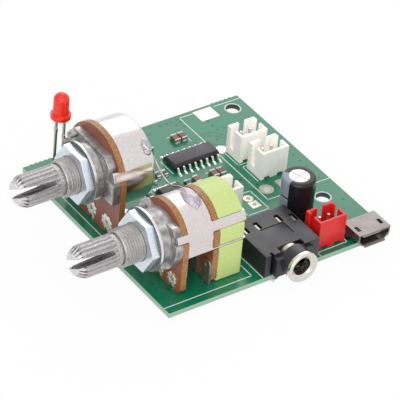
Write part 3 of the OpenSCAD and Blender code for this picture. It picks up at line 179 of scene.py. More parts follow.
paper_links.new(glow.outputs[0], paper_mix.inputs[2])
paper_links.new(paper_mix.outputs[0], paper_nodes.new("ShaderNodeOutputMaterial").inputs["Surface"])
sweep_mesh.materials.append(paper)


# Circuit board: glass laminate with a green solder mask on both faces. The mask is screened on
# and its cut edges stay bare; two screw holes and four unused plated holes go through it.
def paint(red, green, blue):
    """Linear colour from the 0 to 255 values of a colour chart."""
    channels = [v / 255 for v in (red, green, blue)]
    return [v / 12.92 if v < 0.04045 else ((v + 0.055) / 1.055) ** 2.4 for v in channels] + [1.0]


def fleck_and_cloud():
    """Shared effect: fine flecks and broad clouds over a surface."""
    group = bpy.data.node_groups.new("fleck and cloud", "ShaderNodeTree")
    sockets = group.interface
    sockets.new_socket("Place", in_out="INPUT", socket_type="NodeSocketVector")
    sockets.new_socket("Fleck scale", in_out="INPUT", socket_type="NodeSocketFloat")
    sockets.new_socket("Cloud scale", in_out="INPUT", socket_type="NodeSocketFloat")
    sockets.new_socket("Fleck", in_out="OUTPUT", socket_type="NodeSocketFloat")
    sockets.new_socket("Cloud", in_out="OUTPUT", socket_type="NodeSocketFloat")
    source = group.nodes.new("NodeGroupInput")
    result = group.nodes.new("NodeGroupOutput")
    faintest, strongest = 0.3, 0.7
    for kind, detail in (("Fleck", 3.0), ("Cloud", 2.0)):
        speckle = group.nodes.new("ShaderNodeTexNoise")
        speckle.inputs["Detail"].default_value = detail
        spread = group.nodes.new("ShaderNodeMapRange")
        spread.inputs["From Min"].default_value = faintest
        spread.inputs["From Max"].default_value = strongest
        group.links.new(source.outputs["Place"], speckle.inputs["Vector"])
        group.links.new(source.outputs[kind + " scale"], speckle.inputs["Scale"])
        group.links.new(speckle.outputs["Fac"], spread.inputs["Value"])
        group.links.new(spread.outputs["Result"], result.inputs[kind])
    return group


grain = fleck_and_cloud()


def finish(name, colour, mottle, rough, rough_span=0.08, metal=0.0, fleck=0.15, cloud=2.5, bump=0.1,
           by_cloud=False, **shader):
    """Material whose colour drifts to a second one, with uneven gloss and a fine bump; sizes in mm."""
    smoothest = 0.02
    bump_depth = 0.1 * fleck * MM
    material = bpy.data.materials.new(name)
    material.use_nodes = True
    nodes = material.node_tree.nodes
    links = material.node_tree.links
    surface = nodes["Principled BSDF"]
    place = nodes.new("ShaderNodeTexCoord")
    pattern = nodes.new("ShaderNodeGroup")
    pattern.node_tree = grain
    pattern.name = "Pattern"
    pattern.inputs["Fleck scale"].default_value = 1 / (fleck * MM)
    pattern.inputs["Cloud scale"].default_value = 1 / (cloud * MM)
    links.new(place.outputs["Object"], pattern.inputs["Place"])
    drift = nodes.new("ShaderNodeMix")
    drift.name = "Colour"
    drift.data_type = "RGBA"
    drift.inputs["A"].default_value = colour
    drift.inputs["B"].default_value = mottle
    links.new(pattern.outputs["Cloud" if by_cloud else "Fleck"], drift.inputs["Factor"])
    links.new(drift.outputs["Result"], surface.inputs["Base Color"])
    gloss = nodes.new("ShaderNodeMapRange")
    gloss.inputs["To Min"].default_value = max(rough - rough_span, smoothest)
    gloss.inputs["To Max"].default_value = rough + rough_span
    links.new(pattern.outputs["Cloud"], gloss.inputs["Value"])
    links.new(gloss.outputs["Result"], surface.inputs["Roughness"])
    relief = nodes.new("ShaderNodeBump")
    relief.inputs["Strength"].default_value = bump
    relief.inputs["Distance"].default_value = bump_depth
    links.new(pattern.outputs["Fleck"], relief.inputs["Height"])
    links.new(relief.outputs["Normal"], surface.inputs["Normal"])
    surface.inputs["Metallic"].default_value = metal
    for socket, value in shader.items():
        surface.inputs[socket.replace("_", " ").title().replace("Ior", "IOR")].default_value = value
    return material


def painted_over(material, mask, colour):
    """Lays a colour over a material's own one wherever the mask is 1."""
    nodes = material.node_tree.nodes
    links = material.node_tree.links
    target = nodes["Principled BSDF"].inputs["Base Color"]
    under = target.links[0].from_socket
    layer = nodes.new("ShaderNodeMix")
    layer.data_type = "RGBA"
    links.new(mask, layer.inputs["Factor"])
    links.new(under, layer.inputs["A"])
    if isinstance(colour, list):
        layer.inputs["B"].default_value = colour
    else:
        links.new(colour, layer.inputs["B"])
    links.new(layer.outputs["Result"], target)


def math_step(nodes, links, operation, first, second):
    """Socket of one math step between two sockets or numbers."""
    step = nodes.new("ShaderNodeMath")
    step.operation = operation
    for socket, value in zip(step.inputs, (first, second)):
        if isinstance(value, (int, float)):
            socket.default_value = value
        else:
            links.new(value, socket)
    return step.outputs[0]


def cut_edge(material, axis):
    """Socket that is 1 on faces that don't look along an axis of the piece, such as cut edges."""
    looks_along = 0.6
    nodes = material.node_tree.nodes
    links = material.node_tree.links
    place = nodes.new("ShaderNodeTexCoord")
    split = nodes.new("ShaderNodeSeparateXYZ")
    links.new(place.outputs["Normal"], split.inputs[0])
    facing = math_step(nodes, links, "ABSOLUTE", split.outputs[axis], 0)
    return math_step(nodes, links, "LESS_THAN", facing, looks_along)


def at(x, y, z=0.0):
    """Point in the frame, from millimetres right of, behind and above the middle of the board."""
    return middle + Vector((x, y, z)) * MM


def upright(x, y, z=0.0):
    """Placing of a shape made in millimetres, standing on the board."""
    return Matrix.Translation(at(x, y, z)) @ Matrix.Scale(MM, 4)


def piece(name, shape, body, material, slot, *stands_for, keen=20):
    """Object of a bmesh: smooth but for its keen edges, and riding on its body."""
    mesh = bpy.data.meshes.new(name)
    shape.to_mesh(mesh)
    shape.free()
    mesh.materials.append(material)
    mesh.shade_smooth()
    mesh.set_sharp_from_angle(angle=math.radians(keen))
    thing = bpy.data.objects.new(name, mesh)
    scene.collection.objects.link(thing)
    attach(thing, body)
    if stands_for:
        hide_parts(*stands_for)
    return thing


def dress(material, *nodes):
    """Gives CAD nodes that keep their shape a better material."""
    for node in nodes:
        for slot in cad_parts[node].material_slots:
            slot.material = material


def strip(shape, route, width, low, high):
    """Flat band along a route of points on the board, as a row of thin bars."""
    for (x0, y0), (x1, y1) in zip(route, route[1:]):
        run = Vector((x1 - x0, y1 - y0))
        middle_of = upright((x0 + x1) / 2, (y0 + y1) / 2, (low + high) / 2)
        turn = Matrix.Rotation(math.atan2(run.y, run.x), 4, "Z")
        size = Matrix.Diagonal((run.length + width, width, high - low, 1))
        bmesh.ops.create_cube(shape, size=1, matrix=middle_of @ turn @ size)


mask_green = finish("solder mask", paint(12, 116, 84), paint(16, 124, 90), rough=0.27, rough_span=0.05,
                    fleck=0.5, cloud=9, bump=0.03, by_cloud=True, specular_ior_level=0.6)
mask_edge = cut_edge(mask_green, "Z")
painted_over(mask_green, mask_edge, paint(150, 180, 158))
dress(mask_green, "circuit_board")

trace_green = finish("mask in the gaps of the copper", paint(8, 84, 58), paint(12, 92, 64), rough=0.3,
                     fleck=0.4)
traces = bmesh.new()
trace_width = 0.14
trace_top = 0.006
print_foot = -0.02
via_radius = 0.28
via_top = 0.008
trace_routes = [
    [(-16.2, 6.8), (-14.6, 9.0), (-12.4, 12.0), (-9.9, 13.6)],
    [(-15.6, 6.2), (-13.7, 8.9), (-11.4, 11.6), (-9.4, 13.2)],
    [(-9.2, 2.4), (-7.2, 3.6), (-6.2, 5.0)],
    [(-8.6, 0.6), (-6.6, 2.2), (-3.4, 4.2), (-2.2, 6.6)],
    [(-3.6, 8.0), (0.6, 8.6), (1.8, 9.2), (6.6, 13.0), (8.6, 16.6)],
    [(-1.4, 6.2), (1.2, 7.6), (2.0, 8.6)],
    [(8.8, 8.8), (12.6, 9.4), (16.6, 9.0)],
    [(15.4, -22.2), (18.0, -19.6), (20.4, -16.6)],
    [(-22.0, -12.0), (-20.2, -8.0), (-17.8, -6.2), (-14.4, -6.0)],
    [(-16.6, 7.6), (-16.6, 12.3), (-15.95, 13.3), (-14.3, 14.5)],
    [(-15.8, 8.25), (-15.8, 11.85), (-14.75, 13.3), (-13.6, 13.95)],
    [(-14.8, 8.1), (-12.9, 8.5)],
    [(-4.4, 7.05), (-2.0, 7.1), (0.35, 9.25)]]
for route in trace_routes:
    strip(traces, route, width=trace_width, low=print_foot, high=trace_top)
vias = [(-3.1, 22.25), (-1.1, 22.25), (0.9, 22.25), (4.85, 22.3), (12.3, 22.3), (-16.45, 14.3), (-16.5, 15.8),
        (-14.2, 12.6), (14.6, 20.8), (20.4, -14.6), (18.2, -20.4), (9.0, -21.6), (-1.6, 9.0), (1.0, 10.9),
        (5.0, 15.2), (7.2, 16.4), (22.2, -2.8), (12.2, 9.0), (-21.4, 2.2), (-22.83, 5.45),
        (-22.67, 6.88), (-22.74, 7.89), (-22.83, 9.43), (-21.38, 8.33), (-21.86, 9.5), (-20.38, 9.38),
        (-19.66, 14.34), (-18.06, 14.2)]
for x, y in vias:
    bmesh.ops.create_circle(traces, cap_ends=True, segments=16, radius=via_radius,
                            matrix=upright(x, y, via_top))
piece("copper_gaps", traces, "board", trace_green, "laminate")


# Legend: white lines round the headers, the chips and the board's fields. It is epoxy ink, which
# is printed through a screen on the hardened mask.
def box_route(x0, y0, x1, y1):
    """Closed rectangular route."""
    return [(x0, y0), (x1, y0), (x1, y1), (x0, y1), (x0, y0)]


ink_white = finish("legend ink", paint(226, 234, 228), paint(206, 220, 212), rough=0.55, fleck=0.08, bump=0.2)
legend = bmesh.new()
ink_width = 0.2
ink_top = 0.02
legend_routes = [
    [(-23.05, 18.0), (-23.0, 23.8)],
    [(-23.0, 13.2), (-23.05, 10.05), (5.8, 10.05), (5.9, 23.8)],
    box_route(2.0, 4.05, 7.95, 8.7),
    box_route(-10.6, 11.3, -5.4, 18.0),
    [(-4.65, 18.5), (-4.65, 11.7), (0.2, 11.7)],
    box_route(1.75, -3.0, 7.0, 3.95),
    box_route(17.4, 8.6, 22.8, 15.4),
    [(8.5, -4.0), (23.8, -4.0)],
    [(8.3, 8.7), (23.8, 8.7)],
    [(19.0, -5.4), (22.4, -5.4), (22.4, -23.9)],
    [(-21.0, -22.4), (6.0, -22.4)],
    [(-21.0, -22.4), (-21.0, -17.0)],
    [(-13.2, -0.8), (-9.1, -0.8)],
    [(-18.9, 4.4), (-18.9, 7.9), (-16.0, 7.9)],
    [(-6.3, 4.6), (-6.3, 8.0), (-3.6, 8.0)],
    [(-6.3, 0.8), (-6.3, 2.5), (-3.6, 2.5)],
    [(-6.9, -1.9), (-6.9, -7.4), (-6.2, -7.4)],
    [(-11.1, -1.4), (-11.1, -6.2), (-7.7, -6.2)],
    [(-6.8, -9.2), (-4.0, -9.2)]]
for route in legend_routes:
    strip(legend, route, width=ink_width, low=print_foot, high=ink_top)
piece("legend", legend, "board", ink_white, "laminate")


# Bare copper under tin: rings round the screw holes, lands and walls of the unused holes, and two
# spots of solder. The mask is left open over them, and the tin is dipped on.
def turned(profile, place, steps=48, closed=True, ease=0.0):
    """Half section of (radius, height) points spun about its axis, eased and set in its place."""
    merge_within = 0.0005
    shape = bmesh.new()
    ring = [shape.verts.new((radius, 0, height)) for radius, height in profile]
    edges = [shape.edges.new(pair) for pair in zip(ring, ring[1:])]
    if closed:
        edges.append(shape.edges.new((ring[-1], ring[0])))
    bmesh.ops.spin(shape, geom=ring + edges, cent=(0, 0, 0), axis=(0, 0, 1), angle=2 * math.pi,
                   steps=steps, use_merge=True)
    bmesh.ops.remove_doubles(shape, verts=shape.verts, dist=merge_within)
    bmesh.ops.recalc_face_normals(shape, faces=shape.faces)
    if ease:
        eased(shape, ease)
    bmesh.ops.transform(shape, matrix=place, verts=shape.verts)
    return shape


def eased(shape, width, keen=30):
    """Rounds the keen edges of a shape."""
    sharp = [e for e in shape.edges if e.is_manifold and e.calc_face_angle(0) > math.radians(keen)]
    bmesh.ops.bevel(shape, geom=sharp, offset=width, offset_type="OFFSET", segments=2, profile=0.5,
                    affect="EDGES", material=-1, clamp_overlap=False)


def gather(shapes):
    """One bmesh of several, which are used up."""
    whole = bmesh.new()
    for shape in shapes:
        carrier = bpy.data.meshes.new("carrier")
        shape.to_mesh(carrier)
        shape.free()
        whole.from_mesh(carrier)
        bpy.data.meshes.remove(carrier)
    return whole


def raised(shape, faces, height):
    """Draws faces of a shape up by a height, and gives the new vertices and faces."""
    grown = bmesh.ops.extrude_face_region(shape, geom=faces)["geom"]
    verts = [v for v in grown if isinstance(v, bmesh.types.BMVert)]
    bmesh.ops.translate(shape, verts=verts, vec=(0, 0, height))
    return verts, [f for f in grown if isinstance(f, bmesh.types.BMFace)]


def all_of(shape):
    """Everything in a bmesh, for cutting it."""
    return shape.verts[:] + shape.edges[:] + shape.faces[:]


def land(x, y, hole_r, land_r, square):
    """Flat tinned land round a hole, round or square."""
    steps, thick, sunk = 32, 0.03, 0.004
    shape = bmesh.new()
    bmesh.ops.create_circle(shape, segments=steps, radius=hole_r)
    outer = bmesh.ops.create_circle(shape, segments=steps, radius=land_r)["verts"]
    if square:
        for vert in outer:
            vert.co *= land_r / max(abs(vert.co.x), abs(vert.co.y))
    bmesh.ops.bridge_loops(shape, edges=shape.edges)
    raised(shape, shape.faces, thick)
    bmesh.ops.recalc_face_normals(shape, faces=shape.faces)
    bmesh.ops.transform(shape, matrix=upright(x, y, -sunk), verts=shape.verts)
    return shape


def solder_spot(x, y, wide, deep, height, seed):
    """Low uneven spot of solder on the board."""
    unevenness, lumpiness = 0.16, 1.7
    shape = bmesh.new()
    bmesh.ops.create_icosphere(shape, subdivisions=3, radius=1)
    bmesh.ops.bisect_plane(shape, geom=all_of(shape), plane_co=(0, 0, 0), plane_no=(0, 0, 1),
                           clear_inner=True)
    for vert in shape.verts:
        vert.co *= 1 + unevenness * noise.noise(vert.co * lumpiness + Vector((seed, seed, seed)))
        vert.co.z = max(vert.co.z, 0)
    bmesh.ops.scale(shape, verts=shape.verts, vec=(wide / 2, deep / 2, height))
    bmesh.ops.transform(shape, matrix=upright(x, y), verts=shape.verts)
    return shape


tin = finish("tinned copper", paint(218, 212, 200), paint(196, 190, 178), rough=0.33, metal=0.85,
             fleck=0.12, bump=0.2)
solder = finish("solder", paint(236, 234, 236), paint(206, 204, 210), rough=0.3, metal=0.9, fleck=0.2,
                bump=0.3)
ring_silver = finish("plated ring", paint(186, 196, 196), paint(164, 174, 174), rough=0.4, metal=0.4,
                     fleck=0.12)
# The screw holes' walls are painted dark grey: painted shade for the shadow down inside the holes.
hole_wall_painted_shade = finish("plated hole wall, painted shade", paint(84, 88, 80), paint(66, 70, 64), rough=0.5, metal=0.6, fleck=0.2)
screw_places = [(-20.8, 20.8), (10.0, 19.4)]
screw_hole_r, screw_wall_r, screw_ring_r = 1.36, 1.39, 1.65
plating, plating_top, wall_top, wall_foot = 0.03, 0.02, -0.01, -0.98
screw_ring = [(screw_hole_r, 0.0), (screw_hole_r, plating_top), (screw_ring_r, plating_top),
              (screw_ring_r, 0.0)]
screw_rings = [turned(screw_ring, upright(*p)) for p in screw_places]
piece("screw_hole_rings", gather(screw_rings), "board", ring_silver, "solder")
screw_wall = [(screw_hole_r, wall_foot), (screw_hole_r, wall_top), (screw_wall_r, wall_top),
              (screw_wall_r, wall_foot)]
screw_walls = [turned(screw_wall, upright(*p)) for p in screw_places]
piece("screw_hole_walls", gather(screw_walls), "board", hole_wall_painted_shade, "solder")
hole_places = [(3.05, 11.65), (3.05, 15.65), (3.75, 7.05), (5.75, 7.05)]
hole_radii = [0.75, 0.75, 0.45, 0.45]
land_radii = [1.4, 1.35, 0.95, 0.95]
land_square = [False, True, False, True]
land_gap = 0.01
lands = [land(*p, r + land_gap, land_r, square)
         for p, r, land_r, square in zip(hole_places, hole_radii, land_radii, land_square)]
bare_pad = [(-21.7, 14.9), (-21.7, 15.65)]
strip(lands[0], bare_pad, width=3.3, low=print_foot, high=plating)
piece("hole_lands", gather(lands), "board", tin, "solder")
# The unused holes' barrels are painted near white: a painted highlight for the light their tinned walls
# reflect.
barrel_painted_highlight = finish("hole plating, painted highlight", paint(250, 250, 248), paint(238, 238, 236), rough=0.3, metal=0.3,
                    fleck=0.2)
barrels = [turned([(r, wall_foot), (r, plating_top), (r - plating, plating_top), (r - plating, wall_foot)],
                  upright(*p))
           for p, r in zip(hole_places, hole_radii)]
piece("hole_barrels", gather(barrels), "board", barrel_painted_highlight, "solder")
spots = [solder_spot(-11.0, 11.35, wide=2.5, deep=2.6, height=0.22, seed=1),
         solder_spot(-3.9, -15.0, wide=1.9, deep=2.2, height=0.22, seed=2)]
piece("solder_spots", gather(spots), "board", solder, "solder")
dress(solder, "solder_joints")


# Chips: black moulded bodies with a dimple at lead one, on tinned gull-wing leads whose feet
# are soldered to the board.
def solid_of(node, whole_faces=True):
    """The CAD node's own shape, merged, with each flat face in one where asked."""
    merge_within, flat_within = 0.001 * MM, math.radians(1)
    shape = bmesh.new()
    shape.from_mesh(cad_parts[node].data)
    bmesh.ops.remove_doubles(shape, verts=shape.verts, dist=merge_within)
    if whole_faces:
        bmesh.ops.dissolve_limit(shape, angle_limit=flat_within, verts=shape.verts, edges=shape.edges)
    return shape


def softened(node, width, keen=30, whole_faces=True):
    """The CAD node's own shape with its edges rounded."""
    shape = solid_of(node, whole_faces)
    eased(shape, width * MM, keen)
    return shape


chip_black = finish("chip moulding", paint(47, 42, 50), paint(40, 36, 43), rough=0.38, rough_span=0.05,
                    fleck=0.06, bump=0.25)
lead_tin = finish("tinned leads", paint(238, 232, 224), paint(214, 206, 196), rough=0.28, metal=0.9,
                  fleck=0.1, bump=0.1)
mark_section = [(0.0, -0.02), (0.3, -0.02), (0.34, 0.012), (0.42, 0.012), (0.42, -0.02)]
mark_from_left, mark_from_rear = 0.95 * MM, 0.8 * MM
lead_pitch, lead_half = 1.27, 0.21
for chip in ("amplifier_chip", "preamp_chip"):
    piece(chip + "_moulding", softened(chip, width=0.05), "board", chip_black, "chip_epoxy", chip)
    piece(chip + "_gull_leads", softened(chip + "_leads", width=0.035), "board", lead_tin, "tinned_metal",
          chip + "_leads")
    low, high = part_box(chip)
    mark_at = Vector((low.x + mark_from_left, high.y - mark_from_rear, high.z))
    mark = turned(mark_section, Matrix.Translation(mark_at) @ Matrix.Scale(MM, 4), closed=False)
    piece(chip + "_first_lead_mark", mark, "board", chip_black, "chip_epoxy")
    foot_low, foot_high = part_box(chip + "_leads")
    lead_count = round((foot_high.y - foot_low.y) / MM / lead_pitch)
    fillets = []
    for row in (foot_low.x, foot_high.x):
        for i in range(lead_count + 1):
            y = (foot_low.y - middle.y) / MM + lead_half + i * lead_pitch
            fillets.append(solder_spot((row - middle.x) / MM, y, wide=0.95, deep=0.62, height=0.2, seed=i))
    piece(chip + "_feet_solder", gather(fillets), "board", solder, "solder")


# Chip parts: brown ceramic capacitors and black resistors. Each is a fired block with two tinned
# ends, which are soldered to the board.
ceramic_brown = finish("brown ceramic", paint(128, 92, 74), paint(108, 76, 60), rough=0.45, fleck=0.08,
                       bump=0.2)
ceramic_black = finish("black glaze", paint(44, 42, 46), paint(34, 33, 36), rough=0.35, fleck=0.08)
piece("ceramic_capacitors", softened("chip_capacitors", width=0.07), "board", ceramic_brown, "brown_ceramic",
      "chip_capacitors")
end_tin = finish("tinned chip ends", paint(196, 190, 190), paint(168, 162, 164), rough=0.42, metal=0.7,
                 fleck=0.12, bump=0.3)
piece("ceramic_capacitor_ends", softened("chip_capacitor_ends", width=0.07), "board", end_tin, "solder",
      "chip_capacitor_ends")
piece("film_resistors", softened("chip_resistors", width=0.04), "board", ceramic_black, "black_ceramic",
      "chip_resistors")
piece("film_resistor_ends", softened("chip_resistor_ends", width=0.04), "board", end_tin, "solder",
      "chip_resistor_ends")
capacitor_places = [(-17.5, 5.35), (-17.5, 6.9), (-4.95, 5.5), (-4.95, 7.05), (-5.0, 1.65)]
resistor_places = [(-9.8, -2.2), (-9.9, -3.8), (-5.25, -0.25), (-8.9, -5.2), (-5.4, -8.4)]
end_solder = []
end_wide = 0.55
for places, reach, deep, tall in ((capacitor_places, 0.95, 1.2, 0.4), (resistor_places, 0.75, 0.8, 0.25)):
    for i, (x, y) in enumerate(places):
        for side, seed in ((-1, i), (1, i + 7)):
            end_solder.append(solder_spot(x + side * reach, y, wide=end_wide, deep=deep, height=tall,
                                          seed=seed))
piece("chip_part_solder", gather(end_solder), "board", end_tin, "solder")


# Wire headers: moulded nylon boxes, three natural white and one red, each with two square pins
# that are pressed through the floor.
# The white nylon is given a faint emission: a painted glow that makes it lighter than the lamps do.
nylon_white_painted_glow = finish("white nylon, painted glow", paint(249, 247, 241), paint(244, 242, 235), rough=0.42, rough_span=0.05,
                     fleck=0.4, bump=0.04, subsurface_weight=0.15, subsurface_scale=0.6 * MM,
                     emission_color=paint(249, 247, 241), emission_strength=0.08)
nylon_red = finish("red nylon", paint(224, 34, 32), paint(210, 28, 28), rough=0.36, rough_span=0.05,
                   fleck=0.4, bump=0.04)
for header, nylon, slot in (("header_left", nylon_white_painted_glow, "white_nylon"),
                            ("header_middle", nylon_white_painted_glow, "white_nylon"),
                            ("header_inner", nylon_white_painted_glow, "white_nylon"),
                            ("header_red", nylon_red, "red_nylon")):
    piece(header + "_box", softened(header, width=0.1), "board", nylon, slot, header)
    piece(header + "_posts", softened(header + "_pins", width=0.1), "board", lead_tin, "tinned_metal",
          header + "_pins")


# Headphone jack: a black moulded block with sprung contacts in slots, and a nickel ring pressed
# on its nose round the plug's bore.
jack_black = finish("jack moulding", paint(29, 25, 33), paint(25, 21, 29), rough=0.38, rough_span=0.05,
                    fleck=0.07, bump=0.25, specular_ior_level=0.6)
nickel = finish("bright nickel", paint(226, 224, 216), paint(206, 204, 196), rough=0.2, rough_span=0.06,
                metal=1.0, fleck=0.3, bump=0.04)
bore_metal = finish("contact tin", paint(196, 188, 176), paint(168, 160, 150), rough=0.3, metal=1.0,
                    fleck=0.1)
piece("jack_block", softened("jack_body", width=0.05, whole_faces=False), "board", jack_black,
      "black_plastic", "jack_body")
ring_low, ring_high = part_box("jack_ring")
ring_middle = (ring_low + ring_high) / 2
facing_right = Matrix(((0, 0, 1), (1, 0, 0), (0, 1, 0))).to_4x4()
ring_seat = Vector((ring_low.x, ring_middle.y, ring_middle.z))
ring_place = Matrix.Translation(ring_seat) @ facing_right @ Matrix.Scale(MM, 4)
ring_section = [(1.76, -2.9), (1.76, 0.1), (2.55, 0.6), (2.95, 0.6), (3.1, 0.42), (3.1, -0.25), (2.97, -0.25),
                (2.97, 0.0), (1.78, 0.0), (1.78, -2.9)]
piece("jack_nose_ring", turned(ring_section, ring_place, steps=64, ease=0.05), "board", nickel,
      "nickel_plate", "jack_ring")
dress(bore_metal, "jack_sleeve_spring", "jack_contacts")


# Power socket: a nickel-plated steel shell, folded round a beige insulator and flared at its mouth.
# Gilt contacts lie on the insulator's tongue, and the shell's two legs are soldered in the board.
shell_nickel = finish("dull nickel", paint(140, 133, 131), paint(126, 119, 117), rough=0.34, metal=1.0,
                      fleck=0.25, bump=0.06)
insulator_beige = finish("socket insulator", paint(196, 178, 168), paint(204, 186, 174), rough=0.5, fleck=0.1)
gilt = finish("gilt contacts", paint(214, 172, 96), paint(196, 150, 76), rough=0.25, metal=1.0, fleck=0.2)
piece("socket_shell", softened("usb_shell", width=0.05), "board", shell_nickel, "nickel_plate", "usb_shell")
dress(insulator_beige, "usb_insulator")
dress(gilt, "usb_contacts")


# Capacitor: an aluminium can, crimped over its rubber and scored on top to burst safely, in a
# shrunk black sleeve with a grey stripe down the side of its negative lead.
can_low, can_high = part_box("capacitor_sleeve")
can_x = ((can_low.x + can_high.x) / 2 - middle.x) / MM
can_y = ((can_low.y + can_high.y) / 2 - middle.y) / MM
can_base = (can_low.z - middle.z) / MM
can_height = (can_high.z - can_low.z) / MM
sleeve_r = (can_high.x - can_low.x) / 2 / MM
mouth_r = 1.95
shoulder = 0.55
sleeve_section = [(sleeve_r - 0.2, 0), (sleeve_r, 0.15), (sleeve_r, 0.8), (sleeve_r - 0.22, 1.3),
                  (sleeve_r, 1.8), (sleeve_r, can_height - shoulder)]
for step in range(1, 6):
    turn = math.radians(15 * step)
    sleeve_section.append((sleeve_r - shoulder * (1 - math.cos(turn)),
                           can_height - shoulder * (1 - math.sin(turn))))
sleeve_section += [(sleeve_r - shoulder, can_height), (mouth_r + 0.06, can_height - 0.03),
                   (mouth_r, can_height - 0.12), (mouth_r, can_height - 0.3),
                   (sleeve_r - 0.3, can_height - 0.8), (sleeve_r - 0.3, 0.1)]
sleeve_black = finish("black sleeve", paint(26, 23, 27), paint(32, 28, 33), rough=0.16, rough_span=0.05,
                      fleck=0.5, bump=0.02, specular_ior_level=0.35)
sleeve_nodes = sleeve_black.node_tree.nodes
sleeve_links = sleeve_black.node_tree.links
sleeve_place = sleeve_nodes.new("ShaderNodeTexCoord")
sleeve_centre = sleeve_nodes.new("ShaderNodeMapping")
sleeve_centre.inputs["Location"].default_value = -at(can_x, can_y, can_base)
sleeve_links.new(sleeve_place.outputs["Object"], sleeve_centre.inputs["Vector"])
sleeve_axes = sleeve_nodes.new("ShaderNodeSeparateXYZ")
sleeve_links.new(sleeve_centre.outputs["Vector"], sleeve_axes.inputs[0])
stripe_turn = math.radians(-107)
stripe_half = math.radians(36)
around = math_step(sleeve_nodes, sleeve_links, "ARCTAN2", sleeve_axes.outputs["Y"], sleeve_axes.outputs["X"])
off_stripe = math_step(sleeve_nodes, sleeve_links, "SUBTRACT", around, stripe_turn)
off_stripe = math_step(sleeve_nodes, sleeve_links, "ABSOLUTE", off_stripe, 0)
in_stripe = math_step(sleeve_nodes, sleeve_links, "LESS_THAN", off_stripe, stripe_half)
bar_height = 4.75 * MM
bar_half = 0.14 * MM
off_bar = math_step(sleeve_nodes, sleeve_links, "SUBTRACT", sleeve_axes.outputs["Z"], bar_height)
off_bar = math_step(sleeve_nodes, sleeve_links, "ABSOLUTE", off_bar, 0)
off_bar = math_step(sleeve_nodes, sleeve_links, "GREATER_THAN", off_bar, bar_half)
stripe_mask = math_step(sleeve_nodes, sleeve_links, "MULTIPLY", in_stripe, off_bar)
painted_over(sleeve_black, stripe_mask, paint(136, 144, 160))
piece("capacitor_shrunk_sleeve", turned(sleeve_section, upright(can_x, can_y, can_base), steps=64), "board",
      sleeve_black, "black_sleeve", "capacitor_sleeve")

can_silver = finish("scored aluminium", paint(220, 214, 215), paint(204, 198, 200), rough=0.38, metal=0.75,
                    fleck=0.15, bump=0.15)
score, cross_turn = 0.1, 20
leaf_thick, leaf_sunk, leaf_edge = 0.12, 0.17, 0.05
leaves = []
for quarter in range(4):
    leaf = bmesh.new()
    bmesh.ops.create_circle(leaf, cap_ends=True, segments=48, radius=mouth_r)
    for normal in ((1, 0, 0), (0, 1, 0)):
        bmesh.ops.bisect_plane(leaf, geom=all_of(leaf), plane_co=Vector(normal) * score / 2, plane_no=normal,
                               clear_inner=True)
    raised(leaf, leaf.faces, leaf_thick)
    bmesh.ops.recalc_face_normals(leaf, faces=leaf.faces)
    eased(leaf, leaf_edge)
    turn = Matrix.Rotation(math.radians(90 * quarter + cross_turn), 4, "Z")
    leaf_place = upright(can_x, can_y, can_base + can_height - leaf_sunk)
    bmesh.ops.transform(leaf, matrix=leaf_place @ turn, verts=leaf.verts)
    leaves.append(leaf)
piece("capacitor_scored_top", gather(leaves), "board", can_silver, "can_aluminium")
rubber = finish("black rubber", paint(30, 30, 31), paint(40, 40, 41), rough=0.65, fleck=0.2, bump=0.2)
dress(can_silver, "capacitor_can")
dress(rubber, "capacitor_bung")
dress(lead_tin, "capacitor_leads")


# Lamp: a red epoxy lens with a flange, cast round the ends of its two tinned steel leads, which
# hold it high above the board.
lens_low, lens_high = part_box("led_lens")
flange_r = 1.9
lamp_x = (lens_low.x - middle.x) / MM + flange_r
lamp_y = ((lens_low.y + lens_high.y) / 2 - middle.y) / MM
lamp_z = (lens_low.z - middle.z) / MM
lamp_height = (lens_high.z - lens_low.z) / MM
lens_r = 1.5
lens_section = [(0, 0), (1.8, 0), (flange_r, 0.1), (flange_r, 0.9), (1.8, 1.0), (lens_r + 0.05, 1.0),
                (lens_r, 1.06), (lens_r - 0.04, lamp_height - lens_r)]
for step in range(1, 10):
    turn = math.radians(10 * step)
    lens_section.append((lens_r * math.cos(turn), lamp_height - lens_r + lens_r * math.sin(turn)))
lens_section[-1] = (0, lamp_height)
lamp_red = finish("red epoxy", paint(255, 54, 26), paint(255, 44, 22), rough=0.16, rough_span=0.03,
                  fleck=0.5, bump=0.02, transmission_weight=0.35)
lens_shape = turned(lens_section, upright(lamp_x, lamp_y, lamp_z), steps=48, closed=False)
piece("lamp_lens", lens_shape, "board", lamp_red, "red_lens", "led_lens")
piece("lamp_leads", softened("led_leads", width=0.13), "board", bore_metal, "tinned_metal", "led_leads")


# Level and switched controls: on each, a die-cast plate with a threaded bushing, a knurled split
# shaft, a phenolic wafer with crimped terminals, and a drawn cover whose tabs are folded over the
# plate.
def control_place(plate, shaft):
    """Placing of shapes in millimetres: X right, Y up, Z out along the shaft from the wafer."""
    wafer_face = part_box(plate)[1].y
    shaft_low, shaft_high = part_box(shaft)
    axis = Vector(((shaft_low.x + shaft_high.x) / 2, wafer_face, (shaft_low.z + shaft_high.z) / 2))
    front = Matrix(((1, 0, 0), (0, 0, -1), (0, 1, 0))).to_4x4()
    return Matrix.Translation(axis) @ front @ Matrix.Scale(MM, 4)


